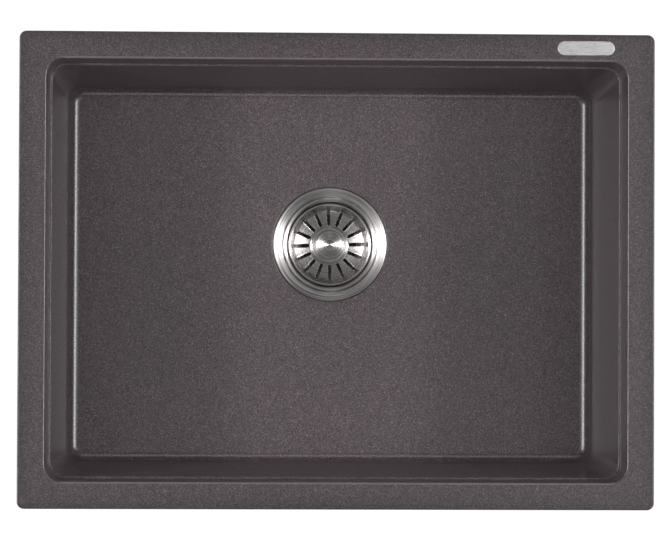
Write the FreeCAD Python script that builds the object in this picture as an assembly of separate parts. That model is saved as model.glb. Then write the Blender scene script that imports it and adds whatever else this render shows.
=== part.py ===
import FreeCAD, Part
import math
import os

from FreeCAD import Vector

# Single-bowl kitchen sink cast in composite stone, with a basket strainer waste and worktop clamps.
# The frame's origin is the middle of the worktop cut-out, on the worktop's top face, which the
# underside of the rim rests on. +X runs along the sink, +Y points to the wall behind it, +Z is up.
# All lengths are millimetres.

# Rim
rim_length = 610.0
rim_depth = 457.0
rim_thickness = 10.0
rim_corner_radius = 7.0
rim_edge_radius = 1.2
rim_land = 26.5
opening_corner_radius = 17.0
opening_edge_radius = 2.0

# Bowl
bowl_depth = 217.0
upper_wall_height = 39.0
upper_wall_angle = 1.5
shoulder_width = 2.2
shoulder_edge_radius = 0.9
shoulder_corner_radius = 14.8
lower_wall_angle = 2.7
floor_corner_radius = 15.5
floor_edge_radius = 10.5
wall_thickness = 8.0
floor_thickness = 12.0
outer_corner_radius = 24.0
outer_edge_radius = 19.0

# Floor's fall to the drain, the seat of the waste and the pad under it
drain_back_offset = 32.0
drain_fall = 2.5
drain_fall_reach = 148.0
drain_hole_diameter = 92.0
seat_side_gap = 0.75
seat_depth = 2.7
relief_diameter = 101.0
relief_depth = 2.6
drain_pad_diameter = 134.0
drain_pad_height = 2.0
drain_pad_edge_radius = 1.2

# Blank badge plate in its pocket on the rim
badge_length = 55.0
badge_width = 13.5
badge_thickness = 0.9
badge_pocket_depth = 0.5
badge_pocket_gap = 0.15
badge_edge_radius = 0.25
badge_from_side = 66.4

# Strainer body, pressed from one sheet
flange_diameter = 116.0
strainer_sheet = 0.9
flange_ring_radius = 49.3
flange_drop = 1.2
flange_step_width = 1.7
flange_step_drop = 1.8
ledge_drop = 0.7
throat_radius = 43.9
throat_depth = 31.0
cone_height = 12.0
neck_radius = 23.0
neck_length = 14.0
flange_bend = 1.0
throat_bend = 1.7
cup_bend = 6.0
neck_bend = 3.0

# Seals and nuts that hold the strainer body to the floor of the bowl
gasket_inner_radius = 51.2
gasket_outer_radius = 57.4
under_gasket_thickness = 3.0
under_gasket_outer_radius = 59.0
slip_ring_thickness = 1.0
slip_ring_outer_radius = 57.0
ring_side_gap = 0.6
lock_nut_height = 9.0
lock_nut_outer_radius = 52.5
lock_nut_flange_radius = 56.5
lock_nut_flange_height = 3.0
lock_nut_lug_count = 8
lock_nut_lug_width = 9.0
lock_nut_lug_reach = 60.0
thread_gap = 0.2

# Guide for the basket's post, clamped under the neck
guide_thickness = 1.2
guide_ring_width = 3.2
guide_spoke_count = 3
guide_spoke_width = 5.0
guide_collar_wall = 1.5
guide_collar_height = 5.0
guide_collar_slit = 0.8
catch_wire = 1.2
catch_opening_angle = 50.0

# Tailpiece and the nut that holds it
tail_washer_thickness = 2.0
tail_diameter = 38.1
tail_wall = 1.2
tail_flange_radius = 23.2
tail_flange_thickness = 1.4
tail_length = 72.0
tail_lip_chamfer = 0.6
tail_root_swell = 0.3
tail_root_length = 3.0
tail_side_gap = 0.35
coupling_nut_flats = 58.0
coupling_nut_height = 18.0
coupling_nut_chamfer = 2.2
coupling_shoulder_thickness = 2.6

# Post and stopper, which lift together
post_radius = 3.0
post_head_radius = 5.0
post_head_thickness = 2.0
post_collar_radius = 5.5
post_collar_height = 2.0
post_ball_radius = 4.0
post_ball_drop = 4.0
moving_gap = 0.3
stopper_radius = 27.5
stopper_thickness = 4.0
stopper_lip = 1.4
backing_radius = 19.0
backing_thickness = 0.9
post_nut_flats = 10.0
post_nut_height = 3.2

# Basket and its knob
basket_sheet = 0.7
basket_rim_radius = 42.6
basket_rim_width = 3.0
basket_rim_curl = 2.8
basket_rim_below_floor = 4.2
basket_rim_bend = 1.35
basket_wall_lean = 2.2
basket_depth = 20.0
basket_corner_bend = 4.5
basket_floor_fall = 3.5
basket_boss_radius = 18.4
basket_boss_height = 1.6
basket_boss_bend = 0.8
slot_count = 16
slot_width = 3.4
slot_inner_radius = 20.3
slot_outer_radius = 36.6
slot_first_angle = 1.5
knob_radius = 14.6
knob_height = 20.5
knob_rim_thickness = 3.2
knob_lip_width = 1.8
knob_dish_depth = 1.6
knob_dome_radius = 5.4
knob_dome_height = 1.0
knob_blend_radius = 5.0
knob_neck_radius = 6.6
knob_foot_radius = 9.5
knob_foot_height = 3.6
knob_edge_radius = 0.8

# Worktop clamps: an insert in the rim, a stud, a nut that climbs it and a claw that swings out
clamp_from_middle = 170.0
clamp_wall_offset = 4.2
insert_radius = 3.4
insert_length = 7.0
insert_collar_radius = 3.9
insert_collar_height = 0.8
stud_radius = 2.5
stud_end_gap = 1.0
stud_reach = 62.0
stud_chamfer = 0.6
stud_slot_width = 1.0
stud_slot_depth = 1.6
stud_gap = 0.1
claw_rest_depth = 44.0
claw_arm = 24.0
claw_width = 8.0
claw_thickness = 2.0
claw_side_thickness = 1.2
claw_toe_thickness = 2.0
claw_toe_height = 5.0
claw_tooth_width = 2.0
claw_tooth_height = 1.4
claw_hole_gap = 0.35
clamp_nut_flats = 8.0
clamp_nut_height = 4.0
clamp_nut_chamfer = 0.4

# Length by which cutting shapes run past what they cut, and the shares used in making shapes
overrun = 5.0
level_tolerance_share = 0.0001
full_round_share = 0.999

# Levels and sizes that follow from the above
rim_top = rim_thickness
floor_level = rim_top - bowl_depth
bowl_underside = floor_level - floor_thickness
drain_level = floor_level - drain_fall
shoulder_level = rim_top - upper_wall_height
upper_wall_inset = upper_wall_height * math.tan(math.radians(upper_wall_angle))
shoulder_inset = upper_wall_inset + shoulder_width
floor_inset = shoulder_inset + (shoulder_level - floor_level) * math.tan(math.radians(lower_wall_angle))
opening_length = rim_length - 2 * rim_land
opening_depth = rim_depth - 2 * rim_land
seat_radius = flange_diameter / 2 + seat_side_gap
cup_outer_radius = throat_radius + strainer_sheet
neck_outer_radius = neck_radius + strainer_sheet

# Levels of the waste, counted from the floor's level at the drain
pad_underside = bowl_underside - drain_pad_height - drain_level
under_gasket_bottom = pad_underside - under_gasket_thickness
slip_ring_bottom = under_gasket_bottom - slip_ring_thickness
lock_nut_bottom = slip_ring_bottom - lock_nut_height
neck_end = -(throat_depth + cone_height + neck_length)
guide_bottom = neck_end - guide_thickness
collar_bottom = guide_bottom - guide_collar_height
tail_washer_bottom = guide_bottom - tail_washer_thickness
tail_flange_bottom = tail_washer_bottom - tail_flange_thickness
tail_radius = tail_diameter / 2
basket_rim_level = -basket_rim_below_floor
basket_floor_level = basket_rim_level - basket_depth
boss_level = basket_floor_level - basket_floor_fall + basket_boss_height
cone_slope = cone_height / (throat_radius - neck_radius)
stopper_gap = moving_gap * math.hypot(1, cone_slope)
stopper_bottom = -throat_depth - (throat_radius - stopper_radius) * cone_slope + stopper_gap
backing_bottom = stopper_bottom + stopper_thickness
collar_level = backing_bottom + backing_thickness
guide_bore_radius = post_ball_radius + moving_gap
claw_arm_top = -claw_rest_depth - claw_toe_height
claw_arm_bottom = claw_arm_top - claw_thickness
clamp_nut_top = claw_arm_bottom - moving_gap
clamp_nut_bottom = clamp_nut_top - clamp_nut_height


def rounded_rectangle(length, width, radius, level):
    """Closed wire of a rectangle with round corners, centred on the Z axis."""
    x, y = length / 2, width / 2
    edges = []
    for i, (sx, sy) in enumerate(((1, 1), (-1, 1), (-1, -1), (1, -1))):
        centre = Vector(sx * (x - radius), sy * (y - radius), level)
        start = i * math.pi / 2
        arc = [centre + Vector(math.cos(a), math.sin(a), 0) * radius
               for a in (start, start + math.pi / 4, start + math.pi / 2)]
        if edges:
            edges.append(Part.LineSegment(edges[-1].Vertexes[-1].Point, arc[0]).toShape())
        edges.append(Part.Arc(*arc).toShape())
    edges.append(Part.LineSegment(edges[-1].Vertexes[-1].Point, edges[0].Vertexes[0].Point).toShape())
    return Part.Wire(edges)


def inset_section(inset, radius, level):
    """Rounded rectangle that lies a given distance inside the rim's opening."""
    return rounded_rectangle(opening_length - 2 * inset, opening_depth - 2 * inset, radius, level)


def edges_at_level(shape, level, within=None):
    """Edges of a shape that lie in one horizontal plane, and within a half length of the middle."""
    tolerance = overrun * level_tolerance_share
    found = []
    for edge in shape.Edges:
        box = edge.BoundBox
        if abs(box.ZMin - level) > tolerance or abs(box.ZMax - level) > tolerance:
            continue
        if within is None or max(abs(box.XMin), abs(box.XMax)) < within:
            found.append(edge)
    return found


def path_edges(points, bends):
    """Edges in the XZ plane along points, with a tangent arc of the given radius at each inner point."""
    edges = []
    last = Vector(points[0][0], 0, points[0][1])
    for i in range(1, len(points) - 1):
        before, corner, after = (Vector(p[0], 0, p[1]) for p in points[i - 1:i + 2])
        towards_before = (before - corner).normalize()
        towards_after = (after - corner).normalize()
        half_angle = towards_before.getAngle(towards_after) / 2
        if bends[i - 1] <= 0:
            edges.append(Part.LineSegment(last, corner).toShape())
            last = corner
            continue
        setback = bends[i - 1] / math.tan(half_angle)
        middle = (towards_before + towards_after).normalize()
        centre = corner + middle * (bends[i - 1] / math.sin(half_angle))
        start = corner + towards_before * setback
        end = corner + towards_after * setback
        edges.append(Part.LineSegment(last, start).toShape())
        edges.append(Part.Arc(start, centre - middle * bends[i - 1], end).toShape())
        last = end
    edges.append(Part.LineSegment(last, Vector(points[-1][0], 0, points[-1][1])).toShape())
    return edges


def shifted_path(points, bends, shift):
    """The same path moved to its left by shift, with its bend radii grown or shrunk to match."""
    lines = []
    for a, b in zip(points, points[1:]):
        run = math.hypot(b[0] - a[0], b[1] - a[1])
        along = ((b[0] - a[0]) / run, (b[1] - a[1]) / run)
        lines.append(((a[0] - along[1] * shift, a[1] + along[0] * shift), along, run))
    moved, radii = [lines[0][0]], []
    for (p, u, _), (q, v, _), bend in zip(lines, lines[1:], bends):
        turn = u[0] * v[1] - u[1] * v[0]
        step = ((q[0] - p[0]) * v[1] - (q[1] - p[1]) * v[0]) / turn
        moved.append((p[0] + u[0] * step, p[1] + u[1] * step))
        radii.append(max(0.0, bend - math.copysign(shift, turn * shift) if bend > 0 else 0.0))
    p, u, run = lines[-1]
    moved.append((p[0] + u[0] * run, p[1] + u[1] * run))
    return moved, radii


def spun(edges):
    """Solid of revolution about the Z axis from the edges of a closed section in the XZ plane."""
    section = Part.Face(Part.Wire(Part.sortEdges(edges)[0]))
    return section.revolve(Vector(0, 0, 0), Vector(0, 0, 1), 360)


def turned(points, bends=None):
    """Solid of revolution of a closed outline given by (radius, height) points."""
    edges = path_edges(list(points) + [points[0]], bends or [0.0] * (len(points) - 1))
    return spun(edges)


def pressed_sheet(points, bends, thickness):
    """Sheet pressed into a round form: the path is its visible face and the metal lies to its left."""
    back, back_bends = shifted_path(points, bends, thickness)
    edges = path_edges(points, bends) + path_edges(back, back_bends)
    for a, b in ((points[0], back[0]), (points[-1], back[-1])):
        edges.append(Part.LineSegment(Vector(a[0], 0, a[1]), Vector(b[0], 0, b[1])).toShape())
    return spun(edges)


def tube(outer_radius, inner_radius, bottom, top):
    """Plain ring between two levels."""
    height = top - bottom
    outer = Part.makeCylinder(outer_radius, height, Vector(0, 0, bottom))
    return outer.cut(Part.makeCylinder(inner_radius, height + 2 * overrun, Vector(0, 0, bottom - overrun)))


def centred_box(length, width, bottom, top):
    """Box centred on the Z axis between two levels."""
    return Part.makeBox(length, width, top - bottom, Vector(-length / 2, -width / 2, bottom))


def hexagon(flats, bottom, top):
    """Hexagonal prism of a given width across flats."""
    radius = flats / math.sqrt(3)
    angles = [math.radians(60 * i) for i in range(7)]
    corners = [Vector(radius * math.cos(angle), radius * math.sin(angle), bottom) for angle in angles]
    return Part.Face(Part.makePolygon(corners)).extrude(Vector(0, 0, top - bottom))


def around(shape, count, start=0.0):
    """Copies of a shape, evenly spaced round the Z axis."""
    copies = []
    for i in range(count):
        copy = shape.copy()
        copy.rotate(Vector(0, 0, 0), Vector(0, 0, 1), start + 360 * i / count)
        copies.append(copy)
    return copies


def at_drain(shape):
    """Moves a piece of the waste from its own frame to the drain."""
    moved = shape.copy()
    moved.translate(Vector(0, drain_back_offset, drain_level))
    return moved


def bowl_cavity():
    """Space inside the bowl: upper wall, narrow shoulder, leaning lower wall and round-edged floor."""
    mouth_inset = -overrun * math.tan(math.radians(upper_wall_angle))
    upper = Part.makeLoft([
        inset_section(mouth_inset, opening_corner_radius, rim_top + overrun),
        inset_section(upper_wall_inset, opening_corner_radius, shoulder_level)], True, True)
    lower = Part.makeLoft([
        inset_section(shoulder_inset, shoulder_corner_radius, shoulder_level),
        inset_section(floor_inset, floor_corner_radius, floor_level)], True, True)
    lower = lower.makeFillet(floor_edge_radius, edges_at_level(lower, floor_level))
    return upper.fuse(lower)


def floor_fall():
    """Round hollow that lets the floor fall to the drain, level with the floor where it begins."""
    run = drain_fall_reach - seat_radius
    radius = (run ** 2 + drain_fall ** 2) / (2 * drain_fall)

    def on_arc(share):
        across = run * share
        return Vector(drain_fall_reach - across, 0, math.sqrt(radius ** 2 - across ** 2) - radius)

    arc = Part.Arc(on_arc(0), on_arc(0.5), on_arc(1))
    corners = [on_arc(1), Vector(0, 0, -drain_fall), Vector(0, 0, overrun),
               Vector(drain_fall_reach, 0, overrun), on_arc(0)]
    edges = [arc.toShape()]
    edges += [Part.LineSegment(a, b).toShape() for a, b in zip(corners, corners[1:])]
    hollow = spun(edges)
    hollow.translate(Vector(0, drain_back_offset, floor_level))
    return hollow


def drain_seat():
    """Hole through the floor, with the seat for the flange and the relief for its pressed step."""
    through = pad_underside - overrun
    hole = Part.makeCylinder(drain_hole_diameter / 2, -through, Vector(0, 0, through))
    seat = Part.makeCylinder(seat_radius, seat_depth + overrun, Vector(0, 0, -seat_depth))
    relief = Part.makeCylinder(relief_diameter / 2, relief_depth, Vector(0, 0, -seat_depth - relief_depth))
    return at_drain(hole.fuse([seat, relief]))


def badge_place():
    """Middle of the badge, on the rim's land at the back right."""
    return Vector(rim_length / 2 - badge_from_side, (rim_depth - rim_land) / 2, rim_top)


def badge_outline(gap, bottom, top):
    """Flat bar with full round ends, grown by a gap."""
    section = rounded_rectangle(badge_length + 2 * gap, badge_width + 2 * gap,
                                (badge_width / 2 + gap) * full_round_share, bottom)
    bar = Part.Face(section).extrude(Vector(0, 0, top - bottom))
    bar.translate(badge_place())
    return bar


def badge_plate():
    """Blank metal plate, standing a little proud of its pocket."""
    height = badge_thickness - badge_pocket_depth
    plate = badge_outline(0, -badge_pocket_depth, height)
    return plate.makeFillet(badge_edge_radius, edges_at_level(plate, rim_top + height))


def clamp_places():
    """Stud axis of each clamp, with the angle that its claw points to while it is parked."""
    side_x = opening_length / 2 + wall_thickness + clamp_wall_offset
    side_y = opening_depth / 2 + wall_thickness + clamp_wall_offset
    return [
        (Vector(-clamp_from_middle, side_y, 0), 0),
        (Vector(clamp_from_middle, side_y, 0), 0),
        (Vector(side_x, 0, 0), 270),
        (Vector(clamp_from_middle, -side_y, 0), 180),
        (Vector(-clamp_from_middle, -side_y, 0), 180),
        (Vector(-side_x, 0, 0), 90),
    ]


def at_clamp(shape, place, angle):
    """Moves a clamp piece from its own frame, with its arm along +X, to one clamp's place."""
    moved = shape.copy()
    moved.rotate(Vector(0, 0, 0), Vector(0, 0, 1), angle)
    moved.translate(place)
    return moved


def sink_bowl():
    """The one-piece casting: rim, bowl, drain seat, badge pocket and blind holes for the clamp inserts."""
    outline = rounded_rectangle(rim_length, rim_depth, rim_corner_radius, 0)
    rim = Part.Face(outline).extrude(Vector(0, 0, rim_top))
    rim = rim.makeFillet(rim_edge_radius, edges_at_level(rim, rim_top))
    outside = Part.makeLoft([
        inset_section(-wall_thickness, outer_corner_radius, 0),
        inset_section(floor_inset - wall_thickness, outer_corner_radius, bowl_underside)], True, True)
    outside = outside.makeFillet(outer_edge_radius, edges_at_level(outside, bowl_underside))
    pad = Part.makeCylinder(drain_pad_diameter / 2, drain_pad_height + floor_thickness / 2,
                            Vector(0, 0, pad_underside))
    pad = pad.makeFillet(drain_pad_edge_radius, edges_at_level(pad, pad_underside))
    body = rim.fuse([outside, at_drain(pad)]).removeSplitter()
    body = body.cut(bowl_cavity())
    body = body.cut([floor_fall(), drain_seat()])
    inner_edges = edges_at_level(body, rim_top, rim_length / 2 - rim_land + overrun)
    body = body.makeFillet(opening_edge_radius, inner_edges)
    shoulder_edges = [edge for edge in edges_at_level(body, shoulder_level) if is_inner_shoulder(edge)]
    body = body.makeFillet(shoulder_edge_radius, shoulder_edges)
    body = body.cut(badge_outline(badge_pocket_gap, -badge_pocket_depth, overrun))
    return body.cut([at_clamp(insert_hole(), place, angle) for place, angle in clamp_places()])


def is_inner_shoulder(edge):
    """True for the edges of the shoulder that stand over the lower wall."""
    half_length = opening_length / 2 - shoulder_inset
    half_depth = opening_depth / 2 - shoulder_inset
    box = edge.BoundBox
    reach_x = max(abs(box.XMin), abs(box.XMax))
    reach_y = max(abs(box.YMin), abs(box.YMax))
    margin = shoulder_width / 4
    return reach_x < half_length + margin and reach_y < half_depth + margin


def strainer_path():
    """Visible face of the strainer body from the flange's edge down to the end of the neck."""
    step_radius = flange_ring_radius - flange_step_width
    points = [
        (flange_diameter / 2, 0),
        (flange_ring_radius, -flange_drop),
        (step_radius, -flange_drop - flange_step_drop),
        (throat_radius, -flange_drop - flange_step_drop - ledge_drop),
        (throat_radius, -throat_depth),
        (neck_radius, -throat_depth - cone_height),
        (neck_radius, neck_end),
    ]
    return points, [flange_bend, flange_bend, throat_bend, cup_bend, neck_bend]


def strainer_body():
    points, bends = strainer_path()
    return at_drain(pressed_sheet(points, bends, strainer_sheet))


def flange_gasket():
    """Ring between the sloping flange and its flat seat."""
    slope = flange_drop / (flange_diameter / 2 - flange_ring_radius)
    sheet_drop = strainer_sheet * math.hypot(1, slope)

    def flange_underside(radius):
        return -(flange_diameter / 2 - radius) * slope - sheet_drop

    return at_drain(turned([
        (gasket_inner_radius, -seat_depth),
        (gasket_outer_radius, -seat_depth),
        (gasket_outer_radius, flange_underside(gasket_outer_radius)),
        (gasket_inner_radius, flange_underside(gasket_inner_radius)),
    ]))


def under_gasket():
    bore = cup_outer_radius + ring_side_gap
    return at_drain(tube(under_gasket_outer_radius, bore, under_gasket_bottom, pad_underside))


def slip_ring():
    """Low-friction ring that lets the lock nut turn without dragging the gasket."""
    bore = cup_outer_radius + ring_side_gap
    return at_drain(tube(slip_ring_outer_radius, bore, slip_ring_bottom, under_gasket_bottom))


def lock_nut():
    """Cast ring nut with a bearing flange and lugs for the fingers or a spanner."""
    bore = cup_outer_radius + thread_gap
    ring = tube(lock_nut_outer_radius, bore, lock_nut_bottom, slip_ring_bottom)
    flange = tube(lock_nut_flange_radius, bore, slip_ring_bottom - lock_nut_flange_height, slip_ring_bottom)
    lug_start = (lock_nut_outer_radius + bore) / 2
    lug = Part.makeBox(lock_nut_lug_reach - lug_start, lock_nut_lug_width, lock_nut_height,
                       Vector(lug_start, -lock_nut_lug_width / 2, lock_nut_bottom))
    uprights = [edge for edge in lug.Edges if edge.BoundBox.ZLength > lock_nut_height / 2]
    tips = [edge for edge in uprights if edge.BoundBox.XMin > lug_start]
    lug = lug.makeFillet(lock_nut_lug_width / 4, tips)
    return at_drain(ring.fuse([flange] + around(lug, lock_nut_lug_count)).removeSplitter())


def post_guide():
    """Spoked plate with a split collar that the post runs in."""
    collar_radius = guide_bore_radius + guide_collar_wall
    ring = tube(neck_outer_radius, neck_outer_radius - guide_ring_width, guide_bottom, neck_end)
    collar = tube(collar_radius, guide_bore_radius, collar_bottom, neck_end)
    spoke_start = (guide_bore_radius + collar_radius) / 2
    spoke_end = neck_outer_radius - guide_ring_width / 2
    spoke = Part.makeBox(spoke_end - spoke_start, guide_spoke_width, guide_thickness,
                         Vector(spoke_start, -guide_spoke_width / 2, guide_bottom))
    slit = Part.makeBox(collar_radius + overrun, guide_collar_slit, guide_collar_height,
                        Vector(0, -guide_collar_slit / 2, collar_bottom))
    plate = ring.fuse([collar] + around(spoke, guide_spoke_count))
    bore = Part.makeCylinder(guide_bore_radius, guide_collar_height + guide_thickness + 2 * overrun,
                             Vector(0, 0, collar_bottom - overrun))
    half_turn = 180 / guide_spoke_count
    return at_drain(plate.cut([bore] + around(slit, guide_spoke_count, half_turn)).removeSplitter())


def catch_spring():
    """Open wire ring that squeezes the guide's split collar on the post."""
    centre_radius = guide_bore_radius + guide_collar_wall + catch_wire / 2
    level = (collar_bottom + guide_bottom) / 2
    circle = Part.Wire(Part.makeCircle(catch_wire / 2, Vector(centre_radius, 0, level), Vector(0, 1, 0)))
    wire = Part.Face(circle).revolve(Vector(0, 0, 0), Vector(0, 0, 1), 360 - catch_opening_angle)
    return at_drain(wire)


def tail_washer():
    return at_drain(tube(tail_flange_radius, tail_radius, tail_washer_bottom, guide_bottom))


def tailpiece():
    """Flanged tube that the trap slips onto, a little swollen where the flange was rolled."""
    end = tail_flange_bottom - tail_length
    inner_radius = tail_radius - tail_wall
    return at_drain(turned([
        (inner_radius, tail_washer_bottom),
        (tail_flange_radius, tail_washer_bottom),
        (tail_flange_radius, tail_flange_bottom),
        (tail_radius + tail_root_swell, tail_flange_bottom),
        (tail_radius, tail_flange_bottom - tail_root_length),
        (tail_radius, end + tail_lip_chamfer),
        (tail_radius - tail_lip_chamfer, end),
        (inner_radius, end),
    ]))


def coupling_nut():
    """Hexagonal nut on the neck, with a shoulder that draws the tailpiece's flange up."""
    bottom = tail_flange_bottom - coupling_shoulder_thickness
    top = bottom + coupling_nut_height
    prism = hexagon(coupling_nut_flats, bottom, top)
    corner_radius = coupling_nut_flats / math.sqrt(3)
    rounded = turned([
        (0, bottom),
        (corner_radius - coupling_nut_chamfer, bottom),
        (corner_radius, bottom + coupling_nut_chamfer),
        (corner_radius, top - coupling_nut_chamfer),
        (corner_radius - coupling_nut_chamfer, top),
        (0, top),
    ])
    bore = Part.makeCylinder(neck_outer_radius + thread_gap, coupling_nut_height + overrun,
                             Vector(0, 0, tail_flange_bottom))
    mouth = Part.makeCylinder(tail_radius + tail_root_swell + tail_side_gap, coupling_nut_height + overrun,
                              Vector(0, 0, bottom - overrun))
    return at_drain(prism.common(rounded).cut([bore, mouth]))


def post():
    """Turned post: a head under the knob, a collar over the stopper and a ball that the guide grips."""
    head_bottom = boss_level + moving_gap
    ball_level = collar_bottom - post_ball_drop / 2
    tip = ball_level - post_ball_radius
    shaft = Part.makeCylinder(post_radius, head_bottom - ball_level, Vector(0, 0, ball_level))
    head = Part.makeCylinder(post_head_radius, post_head_thickness, Vector(0, 0, head_bottom))
    collar = Part.makeCylinder(post_collar_radius, post_collar_height, Vector(0, 0, collar_level))
    ball = Part.makeSphere(post_ball_radius, Vector(0, 0, ball_level))
    flat = centred_box(post_radius * 4, post_radius * 4, tip - overrun, tip + post_ball_radius / 5)
    return at_drain(shaft.fuse([head, collar, ball]).cut(flat))


def stopper_seal():
    """Rubber disc whose bevelled lip closes the cone of the strainer body."""
    lip_top = stopper_bottom + stopper_lip
    lip_width = stopper_lip / cone_slope
    return at_drain(turned([
        (post_radius, stopper_bottom),
        (stopper_radius, stopper_bottom),
        (stopper_radius + lip_width - stopper_lip, lip_top),
        (stopper_radius + lip_width / 2 - stopper_lip, lip_top + stopper_lip / 2),
        (backing_radius + stopper_lip, backing_bottom),
        (post_radius, backing_bottom),
    ]))


def stopper_backing():
    """Steel disc that keeps the rubber flat."""
    return at_drain(tube(backing_radius, post_radius, backing_bottom, collar_level))


def post_nut():
    nut = hexagon(post_nut_flats, stopper_bottom - post_nut_height, stopper_bottom)
    bore = Part.makeCylinder(post_radius, post_nut_height + 2 * overrun,
                             Vector(0, 0, stopper_bottom - post_nut_height - overrun))
    return at_drain(nut.cut(bore))


def basket_path():
    """Visible face of the basket from its curled rim, down the wall and in to the hole for the post."""
    wall_top = basket_rim_radius - basket_rim_width
    wall_foot = wall_top - basket_wall_lean
    step_foot = basket_boss_radius + basket_boss_height / 2
    points = [
        (basket_rim_radius, basket_rim_level - basket_rim_curl),
        (basket_rim_radius, basket_rim_level),
        (wall_top, basket_rim_level),
        (wall_foot, basket_floor_level),
        (step_foot, basket_floor_level - basket_floor_fall),
        (basket_boss_radius, boss_level),
        (post_radius + moving_gap, boss_level),
    ]
    bends = [basket_rim_bend, basket_rim_bend, basket_corner_bend, basket_boss_bend, basket_boss_bend]
    return points, bends


def basket():
    """Pressed cup whose floor falls to the middle, with radial slots that end in its round corner."""
    points, bends = basket_path()
    cup = pressed_sheet(points, bends, basket_sheet)
    bottom = basket_floor_level - basket_floor_fall - overrun
    top = basket_floor_level + basket_corner_bend + overrun / 5
    straight = slot_outer_radius - slot_inner_radius - slot_width
    slot = Part.makeBox(straight, slot_width, top - bottom,
                        Vector(slot_inner_radius + slot_width / 2, -slot_width / 2, bottom))
    ends = [Part.makeCylinder(slot_width / 2, top - bottom, Vector(radius, 0, bottom))
            for radius in (slot_inner_radius + slot_width / 2, slot_outer_radius - slot_width / 2)]
    slot = slot.fuse(ends).removeSplitter()
    return at_drain(cup.cut(around(slot, slot_count, slot_first_angle)))


def knob():
    """Turned finger knob: a foot on the basket, a slim neck and a dished head with a low dome in it."""
    base = boss_level
    top = base + knob_height
    head_bottom = top - knob_rim_thickness
    neck_top = head_bottom - knob_rim_thickness / 2
    dish_level = top - knob_dish_depth
    dome_level = dish_level + knob_dome_height
    outline = [
        (0, base, 0),
        (knob_foot_radius, base, 0),
        (knob_foot_radius, base + knob_foot_height / 3, knob_edge_radius),
        (knob_neck_radius, base + knob_foot_height, knob_foot_height),
        (knob_neck_radius, neck_top, knob_foot_height),
        (knob_radius, head_bottom, knob_edge_radius),
        (knob_radius, top, knob_edge_radius),
        (knob_radius - knob_lip_width, top, knob_edge_radius),
        (knob_dome_radius, dish_level, knob_blend_radius),
        (knob_dome_radius / 3, dome_level, knob_blend_radius),
        (0, dome_level, 0),
    ]
    body = turned([point[:2] for point in outline], [point[2] for point in outline[1:]])
    recess_height = post_head_thickness + 2 * moving_gap
    recess = Part.makeCylinder(post_head_radius + moving_gap, recess_height + overrun,
                               Vector(0, 0, base - overrun))
    return at_drain(body.cut(recess))


def threaded_insert():
    """Brass sleeve with a collar, cast into the rim."""
    sleeve = Part.makeCylinder(insert_radius, insert_length, Vector(0, 0, 0))
    collar = Part.makeCylinder(insert_collar_radius, insert_collar_height, Vector(0, 0, 0))
    bore = Part.makeCylinder(stud_radius, insert_length + 2 * overrun, Vector(0, 0, -overrun))
    return sleeve.fuse(collar).cut(bore)


def insert_hole():
    """Blind hole in the rim that the insert fills."""
    sleeve = Part.makeCylinder(insert_radius, insert_length, Vector(0, 0, 0))
    return sleeve.fuse(Part.makeCylinder(insert_collar_radius, insert_collar_height, Vector(0, 0, 0)))


def clamp_stud():
    """Rod that hangs from its insert, chamfered and slotted for a screwdriver at its lower end."""
    top = insert_length - stud_end_gap
    rod = turned([
        (0, -stud_reach),
        (stud_radius - stud_chamfer, -stud_reach),
        (stud_radius, -stud_reach + stud_chamfer),
        (stud_radius, top),
        (0, top),
    ])
    slot = centred_box(4 * stud_radius, stud_slot_width, -stud_reach - overrun, stud_slot_depth - stud_reach)
    return rod.cut(slot)


def clamp_nut():
    """Hexagonal nut that climbs the stud and carries the claw."""
    corner_radius = clamp_nut_flats / math.sqrt(3)
    rounded = turned([
        (0, clamp_nut_bottom),
        (corner_radius - clamp_nut_chamfer, clamp_nut_bottom),
        (corner_radius, clamp_nut_bottom + clamp_nut_chamfer),
        (corner_radius, clamp_nut_top - clamp_nut_chamfer),
        (corner_radius - clamp_nut_chamfer, clamp_nut_top),
        (0, clamp_nut_top),
    ])
    bore = Part.makeCylinder(stud_radius + stud_gap, clamp_nut_height + 2 * overrun,
                             Vector(0, 0, clamp_nut_bottom - overrun))
    return hexagon(clamp_nut_flats, clamp_nut_bottom, clamp_nut_top).common(rounded).cut(bore)


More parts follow.
